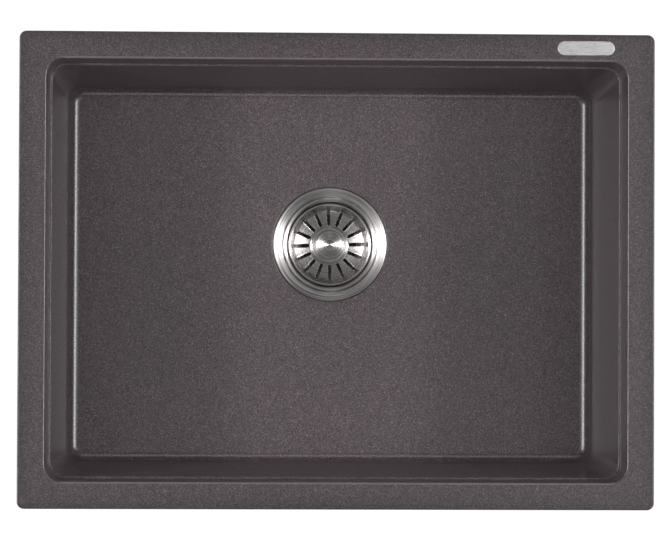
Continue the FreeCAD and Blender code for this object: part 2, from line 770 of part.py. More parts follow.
def clamp_claw():
    """Folded steel claw: a plate with a round heel, two gusset sides and an upturned toe with teeth."""
    half = claw_width / 2
    plate = Part.makeBox(claw_arm, claw_width, claw_thickness, Vector(0, -half, claw_arm_bottom))
    heel = Part.makeCylinder(half, claw_thickness, Vector(0, 0, claw_arm_bottom))
    tooth_root = -claw_rest_depth - claw_tooth_height
    toe = Part.makeBox(claw_toe_thickness, claw_width, tooth_root - claw_arm_bottom,
                       Vector(claw_arm - claw_toe_thickness, -half, claw_arm_bottom))
    side = Part.Face(Part.makePolygon([
        Vector(half, 0, claw_arm_bottom),
        Vector(claw_arm, 0, claw_arm_bottom),
        Vector(claw_arm, 0, tooth_root),
        Vector(claw_arm - 2 * claw_toe_thickness, 0, tooth_root),
        Vector(half, 0, claw_arm_top),
        Vector(half, 0, claw_arm_bottom),
    ]))
    pieces = [heel, toe]
    for start in (-half, half - claw_side_thickness):
        pieces.append(side.extrude(Vector(0, claw_side_thickness, 0)).translated(Vector(0, start, 0)))
    tooth = Part.Face(Part.makePolygon([
        Vector(claw_arm - claw_toe_thickness, 0, tooth_root - claw_tooth_height),
        Vector(claw_arm - claw_toe_thickness, claw_tooth_width, tooth_root - claw_tooth_height),
        Vector(claw_arm - claw_toe_thickness, claw_tooth_width, tooth_root),
        Vector(claw_arm - claw_toe_thickness, claw_tooth_width / 2, -claw_rest_depth),
        Vector(claw_arm - claw_toe_thickness, 0, tooth_root),
        Vector(claw_arm - claw_toe_thickness, 0, tooth_root - claw_tooth_height),
    ])).extrude(Vector(claw_toe_thickness, 0, 0))
    for number in range(int(claw_width / claw_tooth_width)):
        pieces.append(tooth.translated(Vector(0, number * claw_tooth_width - half, 0)))
    hole = Part.makeCylinder(stud_radius + claw_hole_gap, claw_thickness + 2 * overrun,
                             Vector(0, 0, claw_arm_bottom - overrun))
    return plate.fuse(pieces).cut(hole).removeSplitter()


def clamp_pieces():
    """Nodes of the clamps: inserts and studs as groups, and a nut and a claw for each clamp."""
    places = clamp_places()
    nodes = {
        "threaded_inserts": Part.Compound([at_clamp(threaded_insert(), *place) for place in places]),
        "clamp_studs": Part.Compound([at_clamp(clamp_stud(), *place) for place in places]),
    }
    for number, place in enumerate(places, 1):
        nodes[f"clamp_nut_{number}"] = at_clamp(clamp_nut(), *place)
        nodes[f"clamp_claw_{number}"] = at_clamp(clamp_claw(), *place)
    return nodes


def all_pieces():
    """Every node by name."""
    nodes = {
        "sink_bowl": sink_bowl(),
        "badge_plate": badge_plate(),
        "strainer_body": strainer_body(),
        "flange_gasket": flange_gasket(),
        "under_gasket": under_gasket(),
        "slip_ring": slip_ring(),
        "lock_nut": lock_nut(),
        "post_guide": post_guide(),
        "catch_spring": catch_spring(),
        "tail_washer": tail_washer(),
        "tailpiece": tailpiece(),
        "coupling_nut": coupling_nut(),
        "post": post(),
        "stopper_backing": stopper_backing(),
        "stopper_seal": stopper_seal(),
        "post_nut": post_nut(),
        "basket": basket(),
        "knob": knob(),
    }
    nodes.update(clamp_pieces())
    return nodes


os.makedirs("parts", exist_ok=True)
for name, shape in all_pieces().items():
    shape.exportStep(f"parts/{name}.step")
    print(f"{name}: {len(shape.Solids)} solid(s), valid {shape.isValid()}, {shape.Volume / 1000:.2f} cm3")
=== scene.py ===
import bmesh
import bpy
import math
from mathutils import Matrix, Vector


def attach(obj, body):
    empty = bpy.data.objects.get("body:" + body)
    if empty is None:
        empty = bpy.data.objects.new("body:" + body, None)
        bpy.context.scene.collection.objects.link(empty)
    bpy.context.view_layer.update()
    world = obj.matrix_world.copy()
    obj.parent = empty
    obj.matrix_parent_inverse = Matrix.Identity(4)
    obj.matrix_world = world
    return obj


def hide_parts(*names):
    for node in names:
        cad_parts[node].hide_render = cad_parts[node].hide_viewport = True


# Single-bowl composite sink with its basket strainer and worktop clamps, dressed round the CAD frame.
# Sizes are millimetres, as in the part's source. MM turns them into the frame's metres.

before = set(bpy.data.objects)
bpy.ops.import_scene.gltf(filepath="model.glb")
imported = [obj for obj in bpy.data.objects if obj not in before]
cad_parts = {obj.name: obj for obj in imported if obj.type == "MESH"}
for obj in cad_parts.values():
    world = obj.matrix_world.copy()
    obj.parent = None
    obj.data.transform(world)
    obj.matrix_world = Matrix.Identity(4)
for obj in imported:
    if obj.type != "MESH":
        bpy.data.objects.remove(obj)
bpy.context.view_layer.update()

MM = 0.001
same_place = 1e-5

# Rim and bowl
rim_length, rim_depth, rim_top = 610.0, 457.0, 10.0
rim_corner_radius, rim_edge_radius, rim_land = 7.0, 1.2, 26.5
opening_corner_radius, opening_edge_radius = 17.0, 2.0
upper_wall_height, upper_wall_angle = 39.0, 1.5
shoulder_width, shoulder_edge_radius, shoulder_corner_radius = 2.2, 0.9, 14.8
bowl_depth, lower_wall_angle, floor_corner_radius, floor_edge_radius = 217.0, 2.7, 15.5, 10.5
wall_thickness, floor_thickness, outer_corner_radius, outer_edge_radius = 8.0, 12.0, 24.0, 19.0
eased_edge, eased_hollow = 0.4, 0.8

# Drain seat, fall of the floor and pad
drain_back_offset, drain_fall, drain_fall_reach = 32.0, 2.5, 148.0
drain_hole_radius, seat_radius, seat_depth = 46.0, 58.75, 2.7
relief_radius, relief_depth, pad_radius, pad_height, pad_edge_radius = 50.5, 2.6, 67.0, 2.0, 1.2

# Badge plate
badge_length, badge_width, badge_thickness = 55.0, 13.5, 0.9
badge_pocket_depth, badge_pocket_gap, badge_edge_radius, badge_from_side = 0.5, 0.15, 0.25, 66.4

# Waste, with its levels counted from the floor's level at the drain
strainer_sheet, basket_sheet, disc_thickness = 0.9, 0.7, 0.9
flange_radius, flange_inner_radius, flange_drop = 58.0, 49.3, 1.2
cup_radius, cup_foot, neck_radius, cone_foot, neck_foot = 43.9, -31.0, 23.0, -43.0, -57.0
strainer_points = [(flange_radius, 0.0), (flange_inner_radius, -flange_drop), (47.6, -3.0), (cup_radius, -3.7),
                   (cup_radius, cup_foot), (neck_radius, cone_foot), (neck_radius, neck_foot)]
strainer_bends = [1.0, 1.0, 1.7, 6.0, 3.0]
basket_floor = -26.1
basket_points = [(42.6, -7.0), (42.6, -4.2), (39.6, -4.2), (37.4, -24.2), (19.2, -27.7), (18.4, basket_floor),
                 (3.3, basket_floor)]
basket_bends = [1.35, 1.35, 4.5, 0.8, 0.8]
slot_count, slot_width, slot_inner_radius, slot_outer_radius, slot_first_angle = 16, 3.4, 20.3, 36.6, 1.5
slot_edge_width, slot_edge_drop = 0.25, 0.04

# Seals and rings of the waste
ring_inner_radius, ring_ease = 45.4, 0.3
flange_seal_inner_radius, flange_seal_radius = 51.2, 57.4
floor_seal_radius, floor_seal_thickness, floor_seal_ease = 59.0, 3.0, 0.5
slip_washer_radius, slip_washer_thickness = 57.0, 1.0

# Tailpiece and its seal
tail_radius, tail_bore_radius, tail_flange_radius = 19.05, 17.85, 23.2
tail_seal_top, tail_flange_top, tail_flange_foot, tail_foot = -58.2, -60.2, -61.6, -133.6
tail_swell, tail_swell_height = 0.3, 3.0

# Lifting post and stopper
post_radius, post_tip_radius, post_ball_radius, post_collar_radius, post_head_radius = 3.0, 2.2, 4.0, 5.5, 5.0
post_tip, ball_level, shank_foot, collar_height, head_foot, head_top = -68.4, -65.2, -61.6, 2.0, -25.8, -23.8
stopper_foot, stopper_step, plate_radius, rubber_inner_radius = -40.07, 4.0, 19.0, 20.4
rubber_radius, lip_radius, lip_level, lip_top_radius, lip_top = 27.5, 28.45, 1.4, 27.25, 2.1

# Finger knob
knob_top, knob_radius, knob_neck_radius, knob_foot_radius, knob_foot_height = -5.6, 14.6, 6.6, 9.5, 1.2
knob_bore_radius, knob_bore_height, knob_head_height = 5.3, 2.6, 3.2
dish_depth, dish_radius, dish_edge, dome_depth, dome_radius = 1.6, 5.4, 1.8, 0.6, 1.8

# Clamp inserts and studs
insert_collar_radius, insert_radius, insert_bore_radius, insert_collar_height, insert_height = 3.9, 3.4, 2.5, 0.8, 7.0
stud_foot, stud_top, stud_tip_radius, stud_chamfer, stud_core_radius = -62.0, 6.0, 1.7, 0.6, 2.3

# Threads: radius to the middle of the ridge, pitch, turns, radius of the ridge and pieces to a turn
cup_thread_sizes = (44.75, 1.5, 12.0, 0.26, 96)
stud_thread_sizes = (stud_core_radius, 0.8, 82.0, 0.22, 16)
cup_thread_foot, stud_thread_foot = -29.0, stud_foot + 1.0

# Clamps: stud axes, from the rim's own size
clamp_axis = wall_thickness + 4.2
side_x = rim_length / 2 - rim_land + clamp_axis
side_y = rim_depth / 2 - rim_land + clamp_axis
clamp_places = [(-170.0, side_y), (170.0, side_y), (side_x, 0.0),
                (170.0, -side_y), (-170.0, -side_y), (-side_x, 0.0)]

floor_level = rim_top - bowl_depth
bowl_underside = floor_level - floor_thickness
drain_level = floor_level - drain_fall
shoulder_level = rim_top - upper_wall_height
half_length = rim_length / 2 - rim_land
half_depth = rim_depth / 2 - rim_land
upper_inset = upper_wall_height * math.tan(math.radians(upper_wall_angle))
shoulder_inset = upper_inset + shoulder_width
floor_inset = shoulder_inset + (shoulder_level - floor_level) * math.tan(math.radians(lower_wall_angle))
waste_middle = Vector((0.0, drain_back_offset, drain_level))
drain_axis = (0.0, drain_back_offset * MM, 0.0)


# Outlines and meshes

def walk(points, bends, arc_step=10.0, run_step=None, hold=0.35):
    """Samples along straight runs with rounded inner corners: (across, up, left normal's across, its up)."""
    samples = []

    def add(spot, along):
        """Notes a place, with the normal to the left of the way along."""
        samples.append((spot.x, spot.y, -along.y, along.x))

    def run(start, end, hold_start, hold_end):
        """Notes a straight run, with a place held close to each end that a bend follows."""
        along = (end - start).normalized()
        length = (end - start).length
        add(start, along)
        stops = []
        if hold_start and length > 3 * hold:
            stops.append(hold)
        if run_step:
            count = int(length / run_step)
            stops += [length * i / (count + 1) for i in range(1, count + 1)]
        if hold_end and length > 3 * hold:
            stops.append(length - hold)
        for stop in sorted(stops):
            add(start + along * stop, along)
        add(end, along)

    corners = [Vector(p) for p in points]
    last, after_bend = corners[0], False
    for before, corner, after, bend in zip(corners, corners[1:], corners[2:], bends):
        back, on = (before - corner).normalized(), (after - corner).normalized()
        if bend <= 0:
            run(last, corner, after_bend, False)
            last, after_bend = corner, False
            continue
        half = back.angle(on) / 2
        middle = (back + on).normalized()
        centre = corner + middle * (bend / math.sin(half))
        start = corner + back * (bend / math.tan(half))
        end = corner + on * (bend / math.tan(half))
        run(last, start, after_bend, True)
        sweep = math.pi - 2 * half
        turn = 1.0 if back.x * on.y - back.y * on.x < 0 else -1.0
        count = max(2, math.ceil(math.degrees(sweep) / arc_step))
        for i in range(1, count):
            angle = turn * sweep * i / count
            spoke = Matrix.Rotation(angle, 2) @ (start - centre)
            along = Vector((-spoke.y, spoke.x)).normalized() * turn
            add(centre + spoke, along)
        last, after_bend = end, True
    run(last, corners[-1], after_bend, False)
    return samples


def distinct(samples):
    """The samples without those that repeat the place before them."""
    kept = []
    for sample in samples:
        if not kept or math.dist(sample[:2], kept[-1][:2]) > same_place:
            kept.append(sample)
    return kept


def spots(samples):
    """Places of the distinct samples, without their normals."""
    return [tuple(sample[:2]) for sample in distinct(samples)]


def outline(corners, run_step=None):
    """Closed outline of (radius, level, bend) corners, begun and ended at its first one."""
    points = [c[:2] for c in corners] + [corners[0][:2]]
    return spots(walk(points, [c[2] for c in corners[1:]], run_step=run_step))[:-1]


def sheet_outline(points, bends, thickness, **steps):
    """Outline of a pressed sheet: its visible face, then its back, with the cut ends eased."""
    samples = distinct(walk(points, bends, **steps))
    front = [Vector(s[:2]) for s in samples]
    back = [Vector(s[:2]) + Vector(s[2:]) * thickness for s in samples]
    ease = thickness / 4
    ends = []
    for end in (-1, 0):
        across = Vector(samples[end][2:]).normalized() * ease
        ends.append([front[end] + across, back[end] - across])
    for face in (front, back):
        face[0] = face[0] + (face[1] - face[0]).normalized() * ease
        face[-1] = face[-1] + (face[-2] - face[-1]).normalized() * ease
    return [tuple(v) for v in front + ends[0] + back[::-1] + ends[1][::-1]]


def circle(radius, level, segments):
    """Ring of points about the Z axis, or a single one on it."""
    if radius < same_place:
        return [(0.0, 0.0, level)]
    angles = [2 * math.pi * i / segments for i in range(segments)]
    return [(radius * math.cos(a), radius * math.sin(a), level) for a in angles]


def skin(rings, closed=True):
    """Mesh through rings that have the same number of points, or a single point at a pole."""
    mesh = bmesh.new()
    made = [[mesh.verts.new(p) for p in ring] for ring in rings]
    pairs = list(zip(made, made[1:]))
    if closed:
        pairs.append((made[-1], made[0]))
    for low, high in pairs:
        count = max(len(low), len(high))
        for i in range(count):
            if count == 1:
                break
            j = (i + 1) % count
            corners = [low[i % len(low)], low[j % len(low)], high[j % len(high)], high[i % len(high)]]
            mesh.faces.new(list(dict.fromkeys(corners)))
    bmesh.ops.recalc_face_normals(mesh, faces=mesh.faces)
    return mesh


def turned(profile, segments=96, closed=True):
    """Solid of revolution of an outline of (radius, level) points."""
    return skin([circle(radius, level, segments) for radius, level in profile], closed)


def to_frame(mesh, middle=(0.0, 0.0, 0.0)):
    """Moves a mesh from millimetres round its own middle to its place in the frame, in metres."""
    mesh.transform(Matrix.Scale(MM, 4) @ Matrix.Translation(Vector(middle)))
    return mesh


def as_object(mesh, name):
    """Makes a mesh an object of the scene and lets the working mesh go."""
    data = bpy.data.meshes.new(name)
    mesh.to_mesh(data)
    mesh.free()
    made = bpy.data.objects.new(name, data)
    bpy.context.scene.collection.objects.link(made)
    return made


def settle(made):
    """Turns an object's modifiers into plain mesh."""
    bpy.context.view_layer.update()
    graph = bpy.context.evaluated_depsgraph_get()
    data = bpy.data.meshes.new_from_object(made.evaluated_get(graph))
    made.modifiers.clear()
    made.data = data
    return made


def smooth(made, sharp_angle=38.0):
    """Smooth shading, with the edges sharper than an angle left crisp."""
    made.data.polygons.foreach_set("use_smooth", [True] * len(made.data.polygons))
    made.data.set_sharp_from_angle(angle=math.radians(sharp_angle))
    return made


def hand_over(made, finish, body, slot, *nodes):
    """Gives a finished piece its material and body, and hides the CAD nodes that it stands for; the slot is not used.
    """
    made.data.materials.clear()
    made.data.materials.append(finish)
    made.data.polygons.foreach_set("material_index", [0] * len(made.data.polygons))
    made.data.update()
    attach(made, body)
    if nodes:
        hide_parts(*nodes)


copy_merge_distance, copy_flat_angle, copy_sharp_angle = 1e-6, 0.6, 30.0


def eased_copy(cad_node, name, width):
    """Copy of a CAD node with its doubles merged, flats made whole, edges eased and round faces smooth."""
    mesh = bmesh.new()
    mesh.from_mesh(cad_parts[cad_node].data)
    bmesh.ops.remove_doubles(mesh, verts=mesh.verts, dist=copy_merge_distance)
    bmesh.ops.dissolve_limit(mesh, angle_limit=math.radians(copy_flat_angle), verts=mesh.verts, edges=mesh.edges)
    made = as_object(mesh, name)
    bevel = made.modifiers.new("eased", "BEVEL")
    bevel.width, bevel.segments = width * MM, 2
    bevel.limit_method, bevel.angle_limit = "ANGLE", math.radians(copy_sharp_angle)
    bevel.use_clamp_overlap = True
    weigh = made.modifiers.new("flat faces stay flat", "WEIGHTED_NORMAL")
    weigh.keep_sharp = True
    made.data.polygons.foreach_set("use_smooth", [True] * len(made.data.polygons))
    return settle(made)


# Node trees

tree_merge_distance = 2e-6


def node(tree, kind, feeds=None, **settings):
    """Adds a node. Each input is fed by a value or by another node's socket."""
    made = tree.nodes.new(kind)
    for key, value in settings.items():
        setattr(made, key, value)
    for key, value in (feeds or {}).items():
        if isinstance(value, bpy.types.NodeSocket):
            tree.links.new(value, made.inputs[key])
        else:
            made.inputs[key].default_value = value
    return made


def maths(tree, operation, *numbers):
    """Result of a sum on one or two numbers."""
    return node(tree, "ShaderNodeMath", dict(enumerate(numbers)), operation=operation).outputs[0]


def vectors(tree, operation, *given):
    """Result of a sum on one or two vectors."""
    made = node(tree, "ShaderNodeVectorMath", dict(enumerate(given)), operation=operation)
    return made.outputs["Value" if operation == "LENGTH" else "Vector"]


def shape_tree(name, sizes):
    """Empty shape tree with named inputs. Returns the tree, its input node and a call that ends it."""
    tree = bpy.data.node_groups.new(name, "GeometryNodeTree")
    tree.interface.new_socket("Geometry", in_out="INPUT", socket_type="NodeSocketGeometry")
    for label, kind in sizes:
        tree.interface.new_socket(label, in_out="INPUT", socket_type="NodeSocket" + kind)
    tree.interface.new_socket("Finish", in_out="INPUT", socket_type="NodeSocketMaterial")
    tree.interface.new_socket("Geometry", in_out="OUTPUT", socket_type="NodeSocketGeometry")
    inlet = node(tree, "NodeGroupInput")

    def end(shape):
        """Ends the tree on a shape, made real, with its finish."""
        real = node(tree, "GeometryNodeRealizeInstances", {"Geometry": shape})
        merged = node(tree, "GeometryNodeMergeByDistance", {
            "Geometry": real.outputs["Geometry"], "Distance": tree_merge_distance})
        done = node(tree, "GeometryNodeSetMaterial",
                    {"Geometry": merged.outputs["Geometry"], "Material": inlet.outputs["Finish"]})
        node(tree, "NodeGroupOutput", {"Geometry": done.outputs["Geometry"]})

    return tree, inlet.outputs, end


def grow(made, tree, **sizes):
    """Runs a shape tree on an object with the given inputs and keeps the plain mesh."""
    modifier = made.modifiers.new(tree.name, "NODES")
    modifier.node_group = tree
    for item in tree.interface.items_tree:
        key = item.name.replace(" ", "_").lower()
        if item.in_out == "INPUT" and key in sizes:
            modifier[item.identifier] = sizes[key]
    return settle(made)


def ring_of_copies_tree():
    """Copies of the object's own mesh, evenly spaced about the Z axis, then moved to their middle."""
    tree, given, end = shape_tree("ring_of_copies", [("Count", "Int"), ("Middle", "Vector")])
    points = node(tree, "GeometryNodePoints", {"Count": given["Count"]})
    number = node(tree, "GeometryNodeInputIndex").outputs["Index"]
    turn = maths(tree, "DIVIDE", maths(tree, "MULTIPLY", number, 2 * math.pi), given["Count"])
    angle = node(tree, "ShaderNodeCombineXYZ", {"Z": turn})
    copies = node(tree, "GeometryNodeInstanceOnPoints", {
        "Points": points.outputs[0], "Instance": given["Geometry"], "Rotation": angle.outputs[0]})
    placed = node(tree, "GeometryNodeSetPosition", {"Geometry": copies.outputs[0], "Offset": given["Middle"]})
    end(placed.outputs[0])
    return tree


def screw_thread_tree():
    """Ridge that winds round the Z axis, for a thread on a rod or a tube."""
    sizes = [("Radius", "Float"), ("Pitch", "Float"), ("Turns", "Float"), ("Ridge", "Float"),
             ("Steps", "Int"), ("Start", "Vector")]
    tree, given, end = shape_tree("screw_thread", sizes)
    height = maths(tree, "MULTIPLY", given["Pitch"], given["Turns"])
    spiral = node(tree, "GeometryNodeCurveSpiral", {
        "Resolution": given["Steps"], "Rotations": given["Turns"], "Start Radius": given["Radius"],
        "End Radius": given["Radius"], "Height": height})
    placed = node(tree, "GeometryNodeSetPosition", {"Geometry": spiral.outputs[0], "Offset": given["Start"]})
    section = node(tree, "GeometryNodeCurvePrimitiveCircle", {"Resolution": 5, "Radius": given["Ridge"]})
    ridge = node(tree, "GeometryNodeCurveToMesh", {
        "Curve": placed.outputs[0], "Profile Curve": section.outputs[0], "Fill Caps": True})
    end(ridge.outputs[0])
    return tree


def set_out_tree():
    """A pattern piece set out on every vertex of the object's own mesh."""
    tree, given, end = shape_tree("set_out", [("Pattern", "Object")])
    pattern = node(tree, "GeometryNodeObjectInfo", {"Object": given["Pattern"]})
    copies = node(tree, "GeometryNodeInstanceOnPoints", {
        "Points": given["Geometry"], "Instance": pattern.outputs["Geometry"]})
    end(copies.outputs[0])
    return tree


# Finishes

def new_finish(name, rough=0.5, metal=0.0, **gloss):
    """Material with constant gloss values on its shader. Returns it, its tree, shader and place socket."""
    finish = bpy.data.materials.new(name)
    finish.use_nodes = True
    tree = finish.node_tree
    shader = tree.nodes["Principled BSDF"]
    shader.inputs["Roughness"].default_value = rough
    shader.inputs["Metallic"].default_value = metal
    for key, value in gloss.items():
        shader.inputs[key.replace("_", " ").title().replace("Ior", "IOR")].default_value = value
    place = node(tree, "ShaderNodeTexCoord").outputs["Object"]
    return finish, tree, shader, place


noise_low, noise_high = 0.3, 0.7


def noise(tree, place, scale, detail=2.0, rough=0.5):
    """Soft random pattern, which lies almost wholly between noise_low and noise_high."""
    return node(tree, "ShaderNodeTexNoise", {
        "Vector": place, "Scale": scale, "Detail": detail, "Roughness": rough}).outputs["Fac"]


def graded(tree, factor, stops):
    """Colour that runs through stops of (position, colour) as a factor grows. A number stands for a grey."""
    ramp = node(tree, "ShaderNodeValToRGB", {"Fac": factor})
    marks = ramp.color_ramp.elements
    while len(marks) < len(stops):
        marks.new(0.5)
    for mark, (position, colour) in zip(marks, stops):
        mark.position = position
        mark.color = (*(shade(colour) if isinstance(colour, float) else colour), 1.0)
    return ramp.outputs["Color"]


def mixed(tree, factor, first, second, blend="MIX"):
    """Mix of two colours."""
    mix = node(tree, "ShaderNodeMix", data_type="RGBA", blend_type=blend)
    for key, value in ((0, factor), (6, first), (7, second)):
        if isinstance(value, bpy.types.NodeSocket):
            tree.links.new(value, mix.inputs[key])
        elif key == 0:
            mix.inputs[key].default_value = value
        else:
            mix.inputs[key].default_value = (*value, 1.0)
    return mix.outputs[2]


def toned(tree, tone, factor):
    """A colour times another, or times a number."""
    return mixed(tree, 1.0, tone, factor, "MULTIPLY")


def ranged(tree, value, low, high, from_low, from_high):
    """A value brought from one range into another, and held at its ends."""
    return node(tree, "ShaderNodeMapRange", {
        "Value": value, "From Min": from_low, "From Max": from_high, "To Min": low, "To Max": high,
    }).outputs["Result"]


def between_tones(tree, grain, dark, light):
    """Colour that follows a noise from dark to light."""
    return graded(tree, grain, [(noise_low, dark), (noise_high, light)])


def uneven_gloss(tree, shader, grain, smoothest, roughest):
    """Lets the roughness follow a noise."""
    rough = ranged(tree, grain, smoothest, roughest, noise_low, noise_high)
    tree.links.new(rough, shader.inputs["Roughness"])


def bumped(tree, shader, height, strength, distance):
    """Relief of the given depth, in metres."""
    bump = node(tree, "ShaderNodeBump", {"Height": height, "Strength": strength, "Distance": distance})
    tree.links.new(bump.outputs["Normal"], shader.inputs["Normal"])


def shade(value):
    """Same grey in all three channels."""
    return (value, value, value)


def times(colour, factor):
    """A colour made darker or lighter."""
    return tuple(factor * c for c in colour)


# Stone: grains to the metre, and their tones by the share of grains that are darker
grain_scale, dust_scale, fleck_scale, cloud_scale = 1350.0, 2600.0, 330.0, 7.0
grain_tones = [(0.00, (0.020, 0.015, 0.017)), (0.18, (0.043, 0.033, 0.038)), (0.36, (0.064, 0.050, 0.057)),
               (0.70, (0.078, 0.062, 0.070)), (0.88, (0.112, 0.091, 0.101)), (1.00, (0.195, 0.168, 0.178))]
dust_dark, dust_light, cloud_dark, cloud_light = 0.72, 1.28, (0.95, 0.97, 0.98), (1.03, 1.02, 1.00)
fleck_tone, fleck_rarity, fleck_size, fleck_strength = (0.235, 0.220, 0.218), 0.94, 0.22, 0.30
binder_tint, stone_smoothest, stone_roughest = (1.0, 0.945, 0.952), 0.25, 0.35
stone_relief, stone_relief_depth = 0.32, 0.00004

# Painted light and shade laid over the stone's tone by place: how far each change reaches, and its greys along the
# way
# Painted shade: the rim darkens towards its outer edge
rim_reach, rim_edge_painted_shades = 18.0, [(0.0, 0.62), (0.11, 0.68), (0.33, 0.79), (0.5, 0.87), (0.72, 0.94), (1.0, 1.0)]
# Painted shade: the floor darkens towards the side walls' feet
foot_reach, foot_painted_shades = 150.0, [(0.0, 0.76), (0.16, 0.90), (0.5, 0.98), (1.0, 1.0)]
# Painted light: the floor lightens just inside the front and back walls' feet
back_reach, back_painted_light = 20.0, [(0.0, 1.0), (0.35, 1.2), (0.6, 1.125), (1.0, 1.0)]
# Painted shade: the rim's top band is darker, and the bowl below it is a little lighter as painted light
rim_band_drop, rim_band_end, bowl_painted_light, rim_band_painted_shade = 14.0, 1.0, 1.03, 0.81
# Heights above the floor over which the floor's painted shade and painted light fade out
floor_band_foot, floor_band_top = 1.0, 7.0

# Painted highlight: a pale line along the opening's front and back edges
edge_highlight_tone, edge_highlight_strength, edge_highlight_offset, edge_highlight_core, edge_highlight_reach = (0.17, 0.145, 0.15), 0.7, 1.3, 0.2, 1.3
edge_highlight_drop, edge_highlight_top_drop, edge_highlight_end, edge_highlight_fade_end = 3.0, 1.5, 18.0, 8.0


def speckle(tree, place):
    """Tone of the cast grains with their dust, flecks and clouds, the dust itself, and the grains' relief."""
    grains = node(tree, "ShaderNodeTexVoronoi", {"Vector": place, "Scale": grain_scale}, feature="F1")
    pick = node(tree, "ShaderNodeSeparateColor", {"Color": grains.outputs["Color"]}).outputs["Red"]
    dust = noise(tree, place, dust_scale)
    tone = toned(tree, graded(tree, pick, grain_tones), between_tones(tree, dust, dust_dark, dust_light))
    flecks = node(tree, "ShaderNodeTexVoronoi", {"Vector": place, "Scale": fleck_scale}, feature="F1")
    chance = node(tree, "ShaderNodeSeparateColor", {"Color": flecks.outputs["Color"]}).outputs["Green"]
    rare = maths(tree, "GREATER_THAN", chance, fleck_rarity)
    small = maths(tree, "LESS_THAN", flecks.outputs["Distance"], fleck_size)
    strength = maths(tree, "MULTIPLY", maths(tree, "MULTIPLY", rare, small), fleck_strength)
    tone = mixed(tree, strength, tone, fleck_tone)
    tone = toned(tree, tone, between_tones(tree, noise(tree, place, cloud_scale, 3.0), cloud_dark, cloud_light))
    return tone, dust, maths(tree, "ADD", dust, pick)


def faded(tree, tone, distance, reach, shades):
    """A tone times the greys that it runs through as a distance grows to its reach."""
    return toned(tree, tone, graded(tree, ranged(tree, distance, 0.0, 1.0, 0.0, reach * MM), shades))


def edge_highlight_share(tree, height, to_side):
    """Share of painted highlight: a thin pale line on the opening's front and back edges that ends before the
    corners.
    """
    off_edge = maths(tree, "ABSOLUTE", maths(tree, "SUBTRACT", to_side[1], (half_depth + edge_highlight_offset) * MM))
    line = ranged(tree, off_edge, 1.0, 0.0, edge_highlight_core * MM, edge_highlight_reach * MM)
    upper = ranged(tree, height, 0.0, 1.0, (rim_top - edge_highlight_drop) * MM, (rim_top - edge_highlight_top_drop) * MM)
    inner = ranged(tree, to_side[0], edge_highlight_strength, 0.0, (half_length - edge_highlight_end) * MM,
                   (half_length - edge_highlight_fade_end) * MM)
    return maths(tree, "MULTIPLY", maths(tree, "MULTIPLY", line, upper), inner)


def speckled_composite():
    """Cast quartz composite: dark brown-grey satin binder with paler and darker grains, with painted light and shade
    laid over its tone by place.
    """
    finish, tree, shader, place = new_finish("speckled_composite", rough=0.30, diffuse_roughness=0.5, ior=1.6)
    tone, dust, relief = speckle(tree, place)
    spot = node(tree, "ShaderNodeSeparateXYZ", {"Vector": place}).outputs
    to_side = [maths(tree, "ABSOLUTE", spot[axis]) for axis in ("X", "Y")]
    to_edge = [maths(tree, "SUBTRACT", half * MM, side)
               for half, side in zip((rim_length / 2, rim_depth / 2), to_side)]
    # Painted shade: darker towards the rim's outer edge
    tone = faded(tree, tone, maths(tree, "MINIMUM", *to_edge), rim_reach, rim_edge_painted_shades)
    # Painted shade on the rim's top band, and a little painted light on the bowl below it
    tone = toned(tree, tone, ranged(tree, spot["Z"], bowl_painted_light, rim_band_painted_shade, (rim_top - rim_band_drop) * MM,
                                    (rim_top - rim_band_end) * MM))
    # Band next to the floor, to which the floor's painted shade and painted light are held
    on_floor = ranged(tree, spot["Z"], 1.0, 0.0, (floor_level + floor_band_foot) * MM,
                      (floor_level + floor_band_top) * MM)
    # Painted shade: the floor darkens towards the side walls' feet
    from_foot = maths(tree, "SUBTRACT", (half_length - floor_inset) * MM, to_side[0])
    tone = mixed(tree, on_floor, tone, faded(tree, tone, from_foot, foot_reach, foot_painted_shades))
    # Painted light: lighter just inside the front and back walls' feet
    from_back = maths(tree, "SUBTRACT", (half_depth - floor_inset) * MM, to_side[1])
    tone = mixed(tree, on_floor, tone, faded(tree, tone, from_back, back_reach, back_painted_light))
    tone = toned(tree, tone, binder_tint)
    # Painted highlight: a pale line on the opening's front and back edges
    tone = mixed(tree, edge_highlight_share(tree, spot["Z"], to_side), tone, edge_highlight_tone)
    tree.links.new(tone, shader.inputs["Base Color"])
    uneven_gloss(tree, shader, dust, stone_smoothest, stone_roughest)
    bumped(tree, shader, relief, stone_relief, stone_relief_depth)
    return finish


# Brushed metal: strokes to the metre, how they vary round the axis, and their depth in metres
lathe_strokes, lathe_stroke_bend, stroke_depth = 1050.0, 0.7, 0.00002
lathe_dark, lathe_light, lathe_gloss_spread = 0.4, 0.6, 0.03
drawn_dark, drawn_light, drawn_gloss_spread = 0.90, 1.05, 0.06
spun_colour = (0.615, 0.590, 0.582)

# Cast, plated and moulded skins: how many grains a patch spans, and the grain's depth in metres
cast_patch, cast_dark, cast_depth = 18.0, 0.86, 0.00008
mould_patch, mould_smoother, mould_rougher, mould_depth = 25.0, 0.06, 0.08, 0.00006


